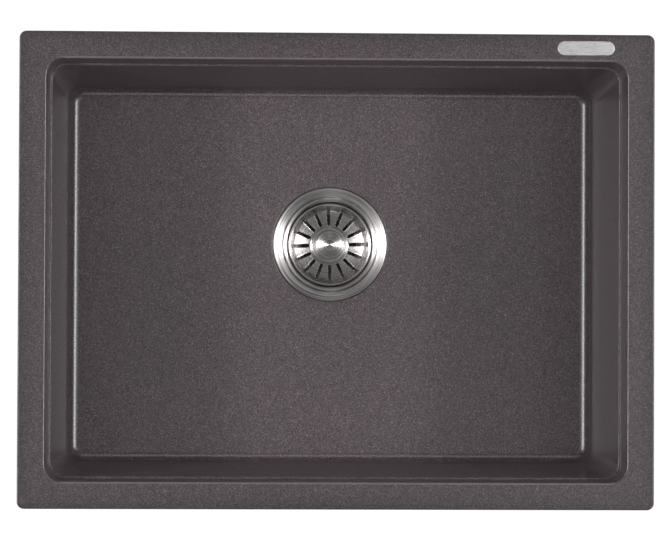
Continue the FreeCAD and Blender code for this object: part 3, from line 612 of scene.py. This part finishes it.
def lathe_brushed_steel(name, colour=spun_colour, rough=0.3, anisotropic=0.85, scratch=0.10, streak=0.15):
    """Stainless steel brushed in circles about the drain's axis, so its gloss spreads along the radius."""
    finish, tree, shader, place = new_finish(name, rough=rough, metal=1.0, anisotropic=anisotropic,
                                             anisotropic_rotation=0.25)
    spot = vectors(tree, "SUBTRACT", place, drain_axis)
    flat = vectors(tree, "MULTIPLY", spot, (1.0, 1.0, 0.0))
    spoke = vectors(tree, "NORMALIZE", flat)
    round_about = vectors(tree, "CROSS_PRODUCT", (0.0, 0.0, 1.0), spoke)
    tangent = node(tree, "ShaderNodeVectorTransform", {"Vector": round_about},
                   vector_type="VECTOR", convert_from="OBJECT", convert_to="WORLD").outputs[0]
    tree.links.new(tangent, shader.inputs["Tangent"])
    height = node(tree, "ShaderNodeSeparateXYZ", {"Vector": spot}).outputs["Z"]
    along = maths(tree, "SUBTRACT", vectors(tree, "LENGTH", flat), height)
    bend = node(tree, "ShaderNodeVectorMath", {0: spoke, "Scale": lathe_stroke_bend}, operation="SCALE").outputs[0]
    bends = node(tree, "ShaderNodeSeparateXYZ", {"Vector": bend}).outputs
    strokes = node(tree, "ShaderNodeCombineXYZ", {
        "X": maths(tree, "MULTIPLY", along, lathe_strokes), "Y": bends["X"], "Z": bends["Y"]})
    grain = noise(tree, strokes.outputs[0], 1.0, 3.0, 0.7)
    tint = graded(tree, grain, [(lathe_dark, times(colour, 1.0 - streak)),
                                (lathe_light, times(colour, 1.0 + streak))])
    tree.links.new(tint, shader.inputs["Base Color"])
    uneven_gloss(tree, shader, grain, rough - lathe_gloss_spread, rough + lathe_gloss_spread)
    bumped(tree, shader, grain, scratch, stroke_depth)
    return finish


def straight_brushed_metal(name, colour, rough, strokes, scratch=0.03):
    """Metal with fine straight strokes, given by their number to the metre along each axis."""
    finish, tree, shader, place = new_finish(name, rough=rough, metal=1.0)
    drawn = node(tree, "ShaderNodeMapping", {"Vector": place, "Scale": strokes}).outputs[0]
    grain = noise(tree, drawn, 1.0, 3.0, 0.6)
    tint = between_tones(tree, grain, times(colour, drawn_dark), times(colour, drawn_light))
    tree.links.new(tint, shader.inputs["Base Color"])
    uneven_gloss(tree, shader, grain, rough - drawn_gloss_spread, rough + drawn_gloss_spread)
    bumped(tree, shader, grain, scratch, stroke_depth)
    return finish


def grainy_metal(name, colour, rough, grains, roughest, relief):
    """Cast or plated metal: an even skin with fine grain and dull patches."""
    finish, tree, shader, place = new_finish(name, rough=rough, metal=1.0)
    patch = noise(tree, place, grains / cast_patch, 3.0)
    tree.links.new(between_tones(tree, patch, times(colour, cast_dark), colour), shader.inputs["Base Color"])
    uneven_gloss(tree, shader, patch, rough, roughest)
    bumped(tree, shader, noise(tree, place, grains, 4.0, 0.6), relief, cast_depth)
    return finish


def moulded(name, dark, light, rough, grains, relief):
    """Rubber or plastic from a mould: even colour with a fine matt grain."""
    finish, tree, shader, place = new_finish(name, rough=rough)
    grain = noise(tree, place, grains, 3.0)
    patch = noise(tree, place, grains / mould_patch)
    tree.links.new(between_tones(tree, patch, dark, light), shader.inputs["Base Color"])
    uneven_gloss(tree, shader, grain, rough - mould_smoother, rough + mould_rougher)
    bumped(tree, shader, grain, relief, mould_depth)
    return finish


# Finishes by what they cover: colours are linear, strokes and grains are counted to the metre
stone = speckled_composite()
circle_steel = lathe_brushed_steel("circle_brushed_steel", streak=0.42)
basket_steel = lathe_brushed_steel("spun_basket_steel", rough=0.27, scratch=0.015, streak=0.10)
disc_steel = lathe_brushed_steel("satin_disc_steel", shade(0.55), rough=0.34, anisotropic=0.6)
tube_steel = straight_brushed_metal("satin_tube_steel", shade(0.57), 0.28, (900.0, 900.0, 25.0))
plate_metal = straight_brushed_metal("satin_badge_metal", (0.76, 0.755, 0.745), 0.30, (60.0, 2600.0, 2600.0))
brass = grainy_metal("turned_brass", (0.60, 0.43, 0.17), 0.24, 700.0, 0.34, 0.10)
zinc = grainy_metal("cast_zinc", shade(0.42), 0.36, 900.0, 0.50, 0.35)
plating = grainy_metal("zinc_plating", (0.46, 0.48, 0.51), 0.26, 800.0, 0.40, 0.12)
rubber = moulded("black_rubber", (0.012, 0.012, 0.013), (0.020, 0.020, 0.021), 0.62, 1500.0, 0.30)
plastic = moulded("white_plastic", (0.72, 0.72, 0.69), (0.78, 0.78, 0.76), 0.42, 1200.0, 0.10)


# The bowl casting

ring_long_steps, ring_short_steps, ring_corner_steps, clamp_segments = 34, 26, 10, 32
least_corner, seat_ease, least_ring_gap, pocket_overrun, hole_overrun = 1.0, 0.3, 0.01, 3.0, 2.0
floor_shares = [0.04, 0.12, 0.22, 0.33, 0.44, 0.54, 0.63, 0.71, 0.78, 0.84, 0.89, 0.93, 0.965, 0.985, 1.0]
underside_shares = [0.2, 0.4, 0.6, 0.8]


def rounded_ring(half_x, half_y, radius, level):
    """Points round a rectangle with round corners, anticlockwise from the foot of its right side."""
    radius = max(radius, 0.0)
    x, y = half_x - radius, half_y - radius
    ring = []
    sides = (((half_x, -y), (half_x, y), (x, y), 0.0, ring_short_steps),
             ((x, half_y), (-x, half_y), (-x, y), 90.0, ring_long_steps),
             ((-half_x, y), (-half_x, -y), (-x, -y), 180.0, ring_short_steps),
             ((-x, -half_y), (x, -half_y), (x, -y), 270.0, ring_long_steps))
    for start, end, centre, first_angle, steps in sides:
        for i in range(steps):
            share = i / steps
            ring.append((start[0] + (end[0] - start[0]) * share, start[1] + (end[1] - start[1]) * share, level))
        for i in range(ring_corner_steps):
            angle = math.radians(first_angle + 90.0 * i / ring_corner_steps)
            ring.append((centre[0] + radius * math.cos(angle), centre[1] + radius * math.sin(angle), level))
    return ring


def inset_ring(inset, radius, level):
    """Ring that lies inside the opening's outline by an inset."""
    return rounded_ring(half_length - inset, half_depth - inset, radius, level)


def cavity_line(level):
    """Inset and corner radius of the bowl's wall at a level, before its edges are rounded."""
    if level >= shoulder_level:
        return (rim_top - level) * math.tan(math.radians(upper_wall_angle)), opening_corner_radius
    share = (shoulder_level - level) / (shoulder_level - floor_level)
    radius = shoulder_corner_radius + (floor_corner_radius - shoulder_corner_radius) * share
    return shoulder_inset + (floor_inset - shoulder_inset) * share, radius


def drain_ring(like, radius, level):
    """Circle about the drain whose points lie in the directions of another ring's points."""
    middle = Vector((0.0, drain_back_offset))
    ring = []
    for point in like:
        away = (Vector(point[:2]) - middle).normalized() * radius
        ring.append((middle.x + away.x, middle.y + away.y, level))
    return ring


def fall(distance):
    """How far the floor has fallen at a distance from the drain's axis."""
    if distance >= drain_fall_reach:
        return 0.0
    run = drain_fall_reach - seat_radius
    arc = (run ** 2 + drain_fall ** 2) / (2 * drain_fall)
    across = min(drain_fall_reach - distance, run)
    return arc - math.sqrt(arc ** 2 - across ** 2)


def between(first, second, share):
    """Ring at a share of the way from one ring to another."""
    return [tuple(a + (b - a) * share for a, b in zip(p, q)) for p, q in zip(first, second)]


def cavity_rings():
    """Rings from the land over the opening's edge, down the wall and its shoulder, and onto the floor."""
    overrun = 40.0
    line = walk([(4.0 + rim_edge_radius - rim_land, rim_top), (0.0, rim_top), (upper_inset, shoulder_level),
                 (shoulder_inset, shoulder_level), (floor_inset, floor_level), (floor_inset + overrun, floor_level)],
                [opening_edge_radius, eased_hollow / 2, shoulder_edge_radius, floor_edge_radius],
                arc_step=9.0, run_step=22.0)
    rings = []
    for inset, level, _, _ in line:
        if inset < floor_inset + overrun - 1.0:
            line_inset, line_radius = cavity_line(min(level, rim_top))
            rings.append(inset_ring(inset, line_radius - (inset - line_inset), level))
    return rings


def outside_rings():
    """Rings from the flat underside, round its edge and up the outside of the wall to the rim's underside."""
    foot = floor_inset - wall_thickness
    line = walk([(foot + 45.0, bowl_underside), (foot, bowl_underside), (-wall_thickness, 0.0),
                 (3.0 - rim_land, 0.0)], [outer_edge_radius, eased_hollow], arc_step=9.0, run_step=30.0)
    rings = []
    for inset, level, _, _ in line[1:]:
        wall_inset = -wall_thickness
        if inset > -wall_thickness - 1.0:
            wall_inset += floor_inset * level / bowl_underside
        rings.append(inset_ring(inset, max(outer_corner_radius - (inset - wall_inset), least_corner), level))
    return rings


def rim_edge_rings():
    """Rings round the rim's outer edge, from its underside to its land."""
    line = walk([(3.0, 0.0), (0.0, 0.0), (0.0, rim_top), (1.0 + rim_edge_radius, rim_top)],
                [eased_edge, rim_edge_radius], arc_step=12.0)
    return [rounded_ring(rim_length / 2 - inset, rim_depth / 2 - inset, max(rim_corner_radius - inset, least_corner),
                         level) for inset, level, _, _ in line]


def falling_floor_rings(flat_ring):
    """Rings from the flat of the floor to the edge of the drain's seat, lowered by the floor's fall."""
    edge = drain_ring(flat_ring, seat_radius + eased_edge, drain_level)
    rings = []
    for share in floor_shares:
        ring = between(flat_ring, edge, share)
        rings.append([(x, y, floor_level - fall(math.hypot(x, y - drain_back_offset))) for x, y, _ in ring])
    return rings


def drain_rings(flat_ring):
    """Rings down the drain's seat, relief and hole, and out round the pad under the floor."""
    pad_level, seat_level = bowl_underside - pad_height, drain_level - seat_depth
    relief_level = seat_level - relief_depth
    line = walk([(seat_radius + 2.0, drain_level), (seat_radius, drain_level), (seat_radius, seat_level),
                 (relief_radius, seat_level), (relief_radius, relief_level), (drain_hole_radius, relief_level),
                 (drain_hole_radius, pad_level), (pad_radius, pad_level), (pad_radius, bowl_underside),
                 (pad_radius + 12.0, bowl_underside)],
                [eased_edge, seat_ease, seat_ease, seat_ease, seat_ease, eased_edge, pad_edge_radius, eased_edge],
                arc_step=22.0)
    return [drain_ring(flat_ring, radius, level) for radius, level, _, _ in line[3:]]


def bowl_casting():
    """The whole casting as one skin: down inside, through the drain, up the outside and round the rim."""
    inside, outside = cavity_rings(), outside_rings()
    drain = drain_rings(inside[-1])
    under = [between(drain[-1], outside[0], share) for share in underside_shares]
    rings = []
    for ring in inside + falling_floor_rings(inside[-1]) + drain + under + outside + rim_edge_rings():
        if not rings or max(math.dist(p, q) for p, q in zip(ring, rings[-1])) > least_ring_gap:
            rings.append(ring)
    casting = as_object(to_frame(skin(rings)), "bowl_casting")
    cutter = as_object(to_frame(sunk_places()), "sunk_places")
    carve = casting.modifiers.new("sunk_places", "BOOLEAN")
    carve.operation, carve.solver, carve.object = "DIFFERENCE", "EXACT", cutter
    settle(casting)
    bpy.data.objects.remove(cutter)
    return smooth(casting, 40.0)


def badge_rings(gap, levels):
    """Rings of the badge's flat oval at (inset, level) pairs."""
    middle_x, middle_y = rim_length / 2 - badge_from_side, (rim_depth - rim_land) / 2
    rings = []
    for inset, level in levels:
        half_x, half_y = badge_length / 2 + gap - inset, badge_width / 2 + gap - inset
        ring = rounded_ring(half_x, half_y, half_y * 0.999, rim_top + level)
        rings.append([(x + middle_x, y + middle_y, z) for x, y, z in ring])
    return rings


def closed_bar(rings):
    """Skin through rings with a flat face over each end."""
    mesh = skin(rings, closed=False)
    mesh.verts.ensure_lookup_table()
    count = len(rings[0])
    mesh.faces.new([mesh.verts[i] for i in range(count)])
    mesh.faces.new([mesh.verts[len(mesh.verts) - count + i] for i in range(count)])
    bmesh.ops.recalc_face_normals(mesh, faces=mesh.faces)
    return mesh


def sunk_places():
    """Solid of everything let into the rim: the badge's pocket above and the clamp inserts' holes below."""
    mesh = closed_bar(badge_rings(badge_pocket_gap, [(0.0, -badge_pocket_depth), (0.0, pocket_overrun)]))
    hole = turned([(0.0, -hole_overrun), (insert_collar_radius, -hole_overrun),
                   (insert_collar_radius, insert_collar_height), (insert_radius, insert_collar_height),
                   (insert_radius, insert_height), (0.0, insert_height)], clamp_segments, closed=False)
    for x, y in clamp_places:
        copy = bpy.data.meshes.new("hole")
        hole.to_mesh(copy)
        copy.transform(Matrix.Translation((x, y, 0.0)))
        mesh.from_mesh(copy)
        bpy.data.meshes.remove(copy)
    hole.free()
    return mesh


hand_over(bowl_casting(), stone, "root", "composite", "sink_bowl")

badge_top, badge_foot = badge_thickness - badge_pocket_depth, -badge_pocket_depth
rounding = [(badge_edge_radius * (1 - math.cos(math.radians(a))),
             badge_top - badge_edge_radius * (1 - math.sin(math.radians(a)))) for a in (0, 22.5, 45, 67.5, 90)]
badge_levels = [(0.1, badge_foot), (0.0, badge_foot + 0.1)] + rounding + [(0.6, badge_top)]
badge = smooth(as_object(to_frame(closed_bar(badge_rings(0.0, badge_levels))), "blank_badge"))
hand_over(badge, plate_metal, "root", "badge_metal", "badge_plate")


# The waste, from the flange down

ring_of_copies = ring_of_copies_tree()
screw_thread = screw_thread_tree()
set_out = set_out_tree()


def waste_piece(name, mesh, finish, body, slot, *nodes):
    """Sets a mesh in its place under the drain and hands it over."""
    hand_over(smooth(as_object(to_frame(mesh, waste_middle), name)), finish, body, slot, *nodes)


def thread(name, sizes, start, finish):
    """Screw thread as an object of its own, about the axis through its start."""
    radius, pitch, turns, ridge, steps = sizes
    made = as_object(bmesh.new(), name)
    grow(made, screw_thread, radius=radius * MM, pitch=pitch * MM, turns=turns, ridge=ridge * MM, steps=steps,
         start=tuple(Vector(start) * MM), finish=finish)
    return smooth(made, 70.0)


def flat_ring(inner, outer, foot, top, ease, segments=96):
    """Ring of rectangular section with eased edges."""
    return turned(outline([((inner + outer) / 2, foot, 0.0), (outer, foot, ease), (outer, top, ease),
                           (inner, top, ease), (inner, foot, ease)]), segments)


waste_piece("flange_and_cup", turned(sheet_outline(strainer_points, strainer_bends, strainer_sheet,
                                                   arc_step=7.5, run_step=6.0), 160),
            circle_steel, "root", "brushed_steel", "strainer_body")
cup_thread = thread("cup_thread", cup_thread_sizes, waste_middle + Vector((0.0, 0.0, cup_thread_foot)), circle_steel)
hand_over(cup_thread, circle_steel, "root", "brushed_steel")

flange_slope = flange_drop / (flange_radius - flange_inner_radius)
seal_inner_top, seal_outer_top = [-(flange_radius - radius) * flange_slope - strainer_sheet
                                  for radius in (flange_seal_inner_radius, flange_seal_radius)]
waste_piece("flange_seal", turned(outline([
    (54.0, -seat_depth, 0.0), (flange_seal_radius, -seat_depth, ring_ease),
    (flange_seal_radius, seal_outer_top, ring_ease), (flange_seal_inner_radius, seal_inner_top, ring_ease),
    (flange_seal_inner_radius, -seat_depth, ring_ease)])), rubber, "root", "black_rubber", "flange_gasket")
floor_seal_top = bowl_underside - pad_height - drain_level
floor_seal_foot = floor_seal_top - floor_seal_thickness
slip_washer_foot = floor_seal_foot - slip_washer_thickness
waste_piece("floor_seal", flat_ring(ring_inner_radius, floor_seal_radius, floor_seal_foot, floor_seal_top,
                                    floor_seal_ease), rubber, "root", "black_rubber", "under_gasket")
waste_piece("slip_washer", flat_ring(ring_inner_radius, slip_washer_radius, slip_washer_foot, floor_seal_foot,
                                     ring_ease), plastic, "root", "white_plastic", "slip_ring")

hand_over(eased_copy("lock_nut", "ring_nut", 0.6), zinc, "root", "zinc_casting", "lock_nut")
hand_over(eased_copy("post_guide", "post_spider", 0.2), disc_steel, "root", "drawn_steel", "post_guide")
hand_over(eased_copy("catch_spring", "spring_ring", 0.15), tube_steel, "root", "drawn_steel", "catch_spring")

waste_piece("tail_seal", flat_ring(tail_radius, tail_flange_radius, tail_flange_top, tail_seal_top, ring_ease, 64),
            rubber, "root", "black_rubber", "tail_washer")
waste_piece("tail_tube", turned(outline([
    (tail_bore_radius, tail_flange_top, 0.3), (tail_flange_radius, tail_flange_top, 0.3),
    (tail_flange_radius, tail_flange_foot, 0.4), (tail_radius + tail_swell, tail_flange_foot, 0.2),
    (tail_radius, tail_flange_foot - tail_swell_height, 2.0), (tail_radius, tail_foot, 0.5),
    (tail_bore_radius, tail_foot, 0.5)], run_step=12.0), 96), tube_steel, "root", "drawn_steel", "tailpiece")
hand_over(eased_copy("coupling_nut", "union_nut", 0.5), zinc, "root", "zinc_casting", "coupling_nut")

# The lifting post and its stopper
plate_foot = stopper_foot + stopper_step
plate_top = plate_foot + disc_thickness
collar_top = plate_top + collar_height
ball = [(post_ball_radius * math.sin(math.radians(a)), ball_level - post_ball_radius * math.cos(math.radians(a)))
        for a in range(37, 132, 8)]
post_line = walk([(post_radius, shank_foot), (post_radius, plate_top), (post_collar_radius, plate_top),
                  (post_collar_radius, collar_top), (post_radius, collar_top), (post_radius, head_foot),
                  (post_head_radius, head_foot), (post_head_radius, head_top), (0.0, head_top)],
                 [0.2, 0.4, 0.4, 0.4, 0.2, 0.4, 0.4], arc_step=30.0, run_step=8.0)
post_profile = [(0.0, post_tip), (post_tip_radius, post_tip)] + ball + spots(post_line)
waste_piece("lift_post", turned(post_profile, 48, closed=False), brass, "stopper_post", "turned_brass", "post")
waste_piece("stopper_plate", turned(outline([
    (12.0, plate_foot, 0.0), (plate_radius, plate_foot, 0.2), (plate_radius, plate_top, 0.35),
    (post_radius, plate_top, 0.2), (post_radius, plate_foot, 0.1)]), 72),
    disc_steel, "stopper_post", "drawn_steel", "stopper_backing")
waste_piece("stopper_rubber", turned(outline([
    (15.0, stopper_foot, 0.0), (rubber_radius, stopper_foot, 0.3), (lip_radius, stopper_foot + lip_level, 0.4),
    (lip_top_radius, stopper_foot + lip_top, 0.4), (rubber_inner_radius, plate_foot, 1.5),
    (post_radius, plate_foot, 0.1), (post_radius, stopper_foot, 0.1)])),
    rubber, "stopper_post", "black_rubber", "stopper_seal")
hand_over(eased_copy("post_nut", "stopper_nut", 0.25), brass, "stopper_post", "turned_brass", "post_nut")


# The basket and its knob

def slot_half_width(radius):
    """Half of the slot's width at a radius, with its round ends."""
    half = slot_width / 2
    if not slot_inner_radius < radius < slot_outer_radius:
        return 0.0
    if radius < slot_inner_radius + half:
        return math.sqrt(max(0.0, half ** 2 - (slot_inner_radius + half - radius) ** 2))
    if radius > slot_outer_radius - half:
        return math.sqrt(max(0.0, half ** 2 - (radius - slot_outer_radius + half) ** 2))
    return half


basket_columns, slot_end_steps = 6, [0.0, 0.05, 0.18, 0.42, 0.72, 1.0]
slot_middle_radii = [33.9, 32.6, 31.3, 30.0, 28.0, 26.0, 24.0]


def basket_rows():
    """Samples down the basket's visible face, each with whether the slot passes it, and closer at its ends."""
    path = distinct(walk(basket_points, basket_bends, arc_step=6.0, run_step=2.0))
    half = slot_width / 2
    wanted = [slot_outer_radius - half * s for s in slot_end_steps] + slot_middle_radii \
        + [slot_inner_radius + half * s for s in reversed(slot_end_steps)]
    foot = max(i for i, s in enumerate(path) if s[0] > slot_outer_radius)
    rows = []
    for i, sample in enumerate(path):
        if i <= foot or not slot_inner_radius - 0.01 < sample[0] < slot_outer_radius + 0.01:
            rows.append((sample, False))
        elif not any(in_slot for _, in_slot in rows):
            for radius in wanted:
                for a, b in zip(path[foot:], path[foot + 1:]):
                    if a[0] >= radius > b[0]:
                        share = (a[0] - radius) / (a[0] - b[0])
                        rows.append((tuple(p + (q - p) * share for p, q in zip(a, b)), True))
                        break
    return rows


def sector_line(sample, in_slot, depth):
    """Points of one row of half a sector, from the slot's edge outwards: (radius, angle, level)."""
    radius, level, across, up = sample
    width = slot_half_width(radius) if in_slot else 0.0
    drop = slot_edge_drop if in_slot else 0.0
    if depth > 0.0:
        drop = -drop
    r, z = radius + across * depth, level + up * depth
    edge_angle = math.asin(width / r)
    next_angle = edge_angle + slot_edge_width / r
    line = [(r + across * drop, edge_angle, z + up * drop)]
    for column in range(basket_columns):
        share = column / (basket_columns - 1)
        line.append((r, next_angle + (math.pi / slot_count - next_angle) * share, z))
    return line


def basket_sector():
    """One slot and the metal round it, as a thick sheet, about the Z axis."""
    rows = basket_rows()
    mesh = bmesh.new()
    for side in (-1.0, 1.0):
        faces = []
        for depth in (0.0, basket_sheet):
            grid = [[mesh.verts.new((r * math.cos(angle), side * r * math.sin(angle), z))
                     for r, angle, z in sector_line(sample, in_slot, depth)] for sample, in_slot in rows]
            faces.append(grid)
            for low, high in zip(grid, grid[1:]):
                for i in range(basket_columns):
                    mesh.faces.new((low[i], low[i + 1], high[i + 1], high[i]))
        front, back = faces
        for row in (0, -1):
            for i in range(basket_columns):
                mesh.faces.new((front[row][i], front[row][i + 1], back[row][i + 1], back[row][i]))
        for i in range(len(rows) - 1):
            if rows[i][1] and rows[i + 1][1]:
                mesh.faces.new((front[i][0], front[i + 1][0], back[i + 1][0], back[i][0]))
    bmesh.ops.remove_doubles(mesh, verts=mesh.verts, dist=1e-4)
    mesh.transform(Matrix.Rotation(math.radians(slot_first_angle), 4, "Z"))
    return mesh


basket = grow(as_object(to_frame(basket_sector()), "slotted_basket"), ring_of_copies, count=slot_count,
              middle=tuple(waste_middle * MM), finish=basket_steel)
whole = bmesh.new()
whole.from_mesh(basket.data)
bmesh.ops.recalc_face_normals(whole, faces=whole.faces)
whole.to_mesh(basket.data)
whole.free()
hand_over(smooth(basket, 50.0), basket_steel, "strainer_basket", "brushed_steel", "basket")

head_bottom, dish_level, dome_level = knob_top - knob_head_height, knob_top - dish_depth, knob_top - dome_depth
bore_top, knob_foot_top = basket_floor + knob_bore_height, basket_floor + knob_foot_height
knob_corners = [(0.0, bore_top, 0.0), (knob_bore_radius, bore_top, 0.2), (knob_bore_radius, basket_floor, 0.2),
                (knob_foot_radius, basket_floor, 0.3), (knob_foot_radius, knob_foot_top, 0.8),
                (knob_neck_radius, basket_floor + 3.6, 3.6), (knob_neck_radius, head_bottom - 1.6, 3.6),
                (knob_radius, head_bottom, 0.8), (knob_radius, knob_top, 0.8),
                (knob_radius - dish_edge, knob_top, 0.8), (dish_radius, dish_level, 5.0),
                (dome_radius, dome_level, 5.0), (0.0, dome_level, 0.0)]
knob_profile = spots(walk([c[:2] for c in knob_corners], [c[2] for c in knob_corners[1:-1]], arc_step=7.5,
                          run_step=1.5, hold=0.2))
waste_piece("finger_knob", turned(knob_profile, 128, closed=False), basket_steel, "strainer_basket",
            "brushed_steel", "knob")


# Worktop clamps

def set_out_at_clamps(name, pattern, finish):
    """A pattern piece at every clamp's axis, as one mesh."""
    points = bmesh.new()
    for x, y in clamp_places:
        points.verts.new((x * MM, y * MM, 0.0))
    made = grow(as_object(points, name), set_out, pattern=pattern, finish=finish)
    bpy.data.objects.remove(pattern)
    return made


insert_pattern = smooth(as_object(to_frame(turned(outline([
    (3.0, 0.0, 0.0), (insert_collar_radius, 0.0, 0.15), (insert_collar_radius, insert_collar_height, 0.0),
    (insert_radius, insert_collar_height, 0.0), (insert_radius, insert_height, 0.2),
    (insert_bore_radius, insert_height, 0.2), (insert_bore_radius, 0.0, 0.2)]), clamp_segments)), "insert_pattern"))
hand_over(set_out_at_clamps("rim_inserts", insert_pattern, brass), brass, "root", "turned_brass", "threaded_inserts")

rod = to_frame(turned(spots(walk([
    (0.0, stud_foot), (stud_tip_radius, stud_foot), (stud_core_radius, stud_foot + stud_chamfer),
    (stud_core_radius, stud_top), (0.0, stud_top)], [0.2, 0.2, 0.2], arc_step=45.0)), 24, closed=False))
ridges = thread("stud_ridges", stud_thread_sizes, (0.0, 0.0, stud_thread_foot), plating)
rod.from_mesh(ridges.data)
bpy.data.objects.remove(ridges)
stud_pattern = smooth(as_object(rod, "stud_pattern"), 60.0)
hand_over(set_out_at_clamps("hanging_studs", stud_pattern, plating), plating, "root", "plated_steel", "clamp_studs")

for number in range(1, len(clamp_places) + 1):
    hand_over(eased_copy(f"clamp_nut_{number}", f"climbing_nut_{number}", 0.15), plating,
              f"nut_{number}", "plated_steel", f"clamp_nut_{number}")
    hand_over(eased_copy(f"clamp_claw_{number}", f"swing_claw_{number}", 0.2), plating,
              f"claw_{number}", "plated_steel", f"clamp_claw_{number}")


# Studio: a pale floor under the tailpiece, a dim sky that turns white for the camera and, near the horizon,
# for gloss, a broad lamp overhead that only lights, and strips that lean in from each side

# Greys of the floor and the sky, and the heights between which the horizon's white ends. Sizes are metres.
floor_half, floor_gap, floor_paint, floor_weak_paint, floor_glow = 8.0, 0.0005, 0.80, 0.16, 0.90
sky_shades = [(0.0, 0.20), (0.50, 0.15), (0.80, 0.11), (0.86, 0.10)]
sheen_shades = [(0.0, 0.36), (0.40, 0.11)]
horizon_low, horizon_high = 0.02, 0.15
lamp_distance, bowl_middle = 20.0, Vector((0.0, 0.0, -0.1))


def shows_white(tree):
    """Share of 1 for rays that should see the white background: those of the camera, gloss and glass."""
    path = node(tree, "ShaderNodeLightPath").outputs
    seen = maths(tree, "MAXIMUM", path["Is Camera Ray"], path["Is Glossy Ray"])
    return maths(tree, "MAXIMUM", seen, path["Is Transmission Ray"])


def studio_floor():
    """Floor that glows white to the camera and to gloss, is pale to other light and is clear from below."""
    sheet = bmesh.new()
    level = (drain_level + tail_foot) * MM - floor_gap
    corners = ((-floor_half, -floor_half), (floor_half, -floor_half), (floor_half, floor_half),
               (-floor_half, floor_half))
    sheet.faces.new([sheet.verts.new((x, y, level)) for x, y in corners])
    made = as_object(sheet, "studio_floor")
    paint = bpy.data.materials.new("pale_floor")
    paint.use_nodes = True
    tree = paint.node_tree
    tree.nodes.clear()
    matt = node(tree, "ShaderNodeBsdfDiffuse", {"Color": (*shade(floor_paint), 1.0)})
    weak = node(tree, "ShaderNodeBsdfDiffuse", {"Color": (*shade(floor_weak_paint), 1.0)})
    glow = node(tree, "ShaderNodeEmission", {"Color": (*shade(1.0), 1.0), "Strength": floor_glow})
    bright = node(tree, "ShaderNodeAddShader", {0: weak.outputs[0], 1: glow.outputs[0]})
    seen = node(tree, "ShaderNodeMixShader", {0: shows_white(tree), 1: matt.outputs[0], 2: bright.outputs[0]})
    clear = node(tree, "ShaderNodeBsdfTransparent")
    below = node(tree, "ShaderNodeNewGeometry").outputs["Backfacing"]
    both = node(tree, "ShaderNodeMixShader", {0: below, 1: seen.outputs[0], 2: clear.outputs[0]})
    node(tree, "ShaderNodeOutputMaterial", {"Surface": both.outputs[0]})
    made.data.materials.append(paint)


def studio_world():
    """Sky that is dim overhead, a little brighter from front to back in gloss, and white where it should be."""
    world = bpy.data.worlds.new("studio_world")
    bpy.context.scene.world = world
    world.use_nodes = True
    tree = world.node_tree
    tree.nodes.clear()
    direction = node(tree, "ShaderNodeTexCoord").outputs["Generated"]
    parts = node(tree, "ShaderNodeSeparateXYZ", {"Vector": direction}).outputs
    path = node(tree, "ShaderNodeLightPath").outputs
    sky = mixed(tree, path["Is Glossy Ray"], graded(tree, parts["Z"], sky_shades),
                graded(tree, maths(tree, "ABSOLUTE", parts["Y"]), sheen_shades))
    low = ranged(tree, parts["Z"], 1.0, 0.0, horizon_low, horizon_high)
    white = maths(tree, "MAXIMUM", maths(tree, "MULTIPLY", shows_white(tree), low), path["Is Camera Ray"])
    light = node(tree, "ShaderNodeBackground", {"Color": mixed(tree, white, sky, shade(1.0)), "Strength": 1.0})
    node(tree, "ShaderNodeOutputWorld", {"Surface": light.outputs[0]})


def soft_box(name, turn, lean, across, tall, radiance, in_gloss=True, in_diffuse=True):
    """Rectangular lamp of a given brightness, turned about the bowl and leaning from straight above."""
    lamp = bpy.data.lights.new(name, "AREA")
    lamp.shape, lamp.size, lamp.size_y = "RECTANGLE", tall, across
    lamp.energy = radiance * math.pi * across * tall
    made = bpy.data.objects.new(name, lamp)
    made.matrix_world = Matrix.Translation(bowl_middle) @ Matrix.Rotation(math.radians(turn), 4, "Z") \
        @ Matrix.Rotation(math.radians(lean), 4, "Y") @ Matrix.Translation((0.0, 0.0, lamp_distance))
    made.visible_glossy, made.visible_diffuse = in_gloss, in_diffuse
    bpy.context.scene.collection.objects.link(made)


studio_floor()
studio_world()
soft_box("top_box", 0.0, lean=0.0, across=6.6, tall=8.0, radiance=4.2, in_gloss=False)
for turn in (0.0, 180.0):
    soft_box("near_strip", turn, lean=21.0, across=2.8, tall=5.0, radiance=4.4, in_diffuse=False)
    soft_box("upper_strip", turn, lean=32.0, across=5.6, tall=2.8, radiance=5.5)
    soft_box("side_strip", turn, lean=40.0, across=5.6, tall=2.8, radiance=35.0)
    soft_box("end_strip", turn + 90.0, lean=50.0, across=5.6, tall=6.0, radiance=2.8)

# Camera as fitted to the photograph: almost straight above, turned and leaning a little
camera_place, camera_lens, sensor_width = (-105.5, -66.3, 3019.6), 169.0, 36.0
camera_turn, camera_lean, camera_tip = 0.24, -1.97, 1.25
camera_data = bpy.data.cameras.new("camera")
camera_data.sensor_width, camera_data.lens = sensor_width, camera_lens
camera = bpy.data.objects.new("camera", camera_data)
bpy.context.scene.collection.objects.link(camera)
camera.matrix_world = Matrix.Translation(Vector(camera_place) * MM) @ (
    Matrix.Rotation(math.radians(camera_turn), 4, "Z") @ Matrix.Rotation(math.radians(camera_lean), 4, "Y")
    @ Matrix.Rotation(math.radians(camera_tip), 4, "X"))
bpy.context.scene.camera = camera
bpy.context.scene.view_settings.view_transform = "Standard"

bpy.context.view_layer.update()
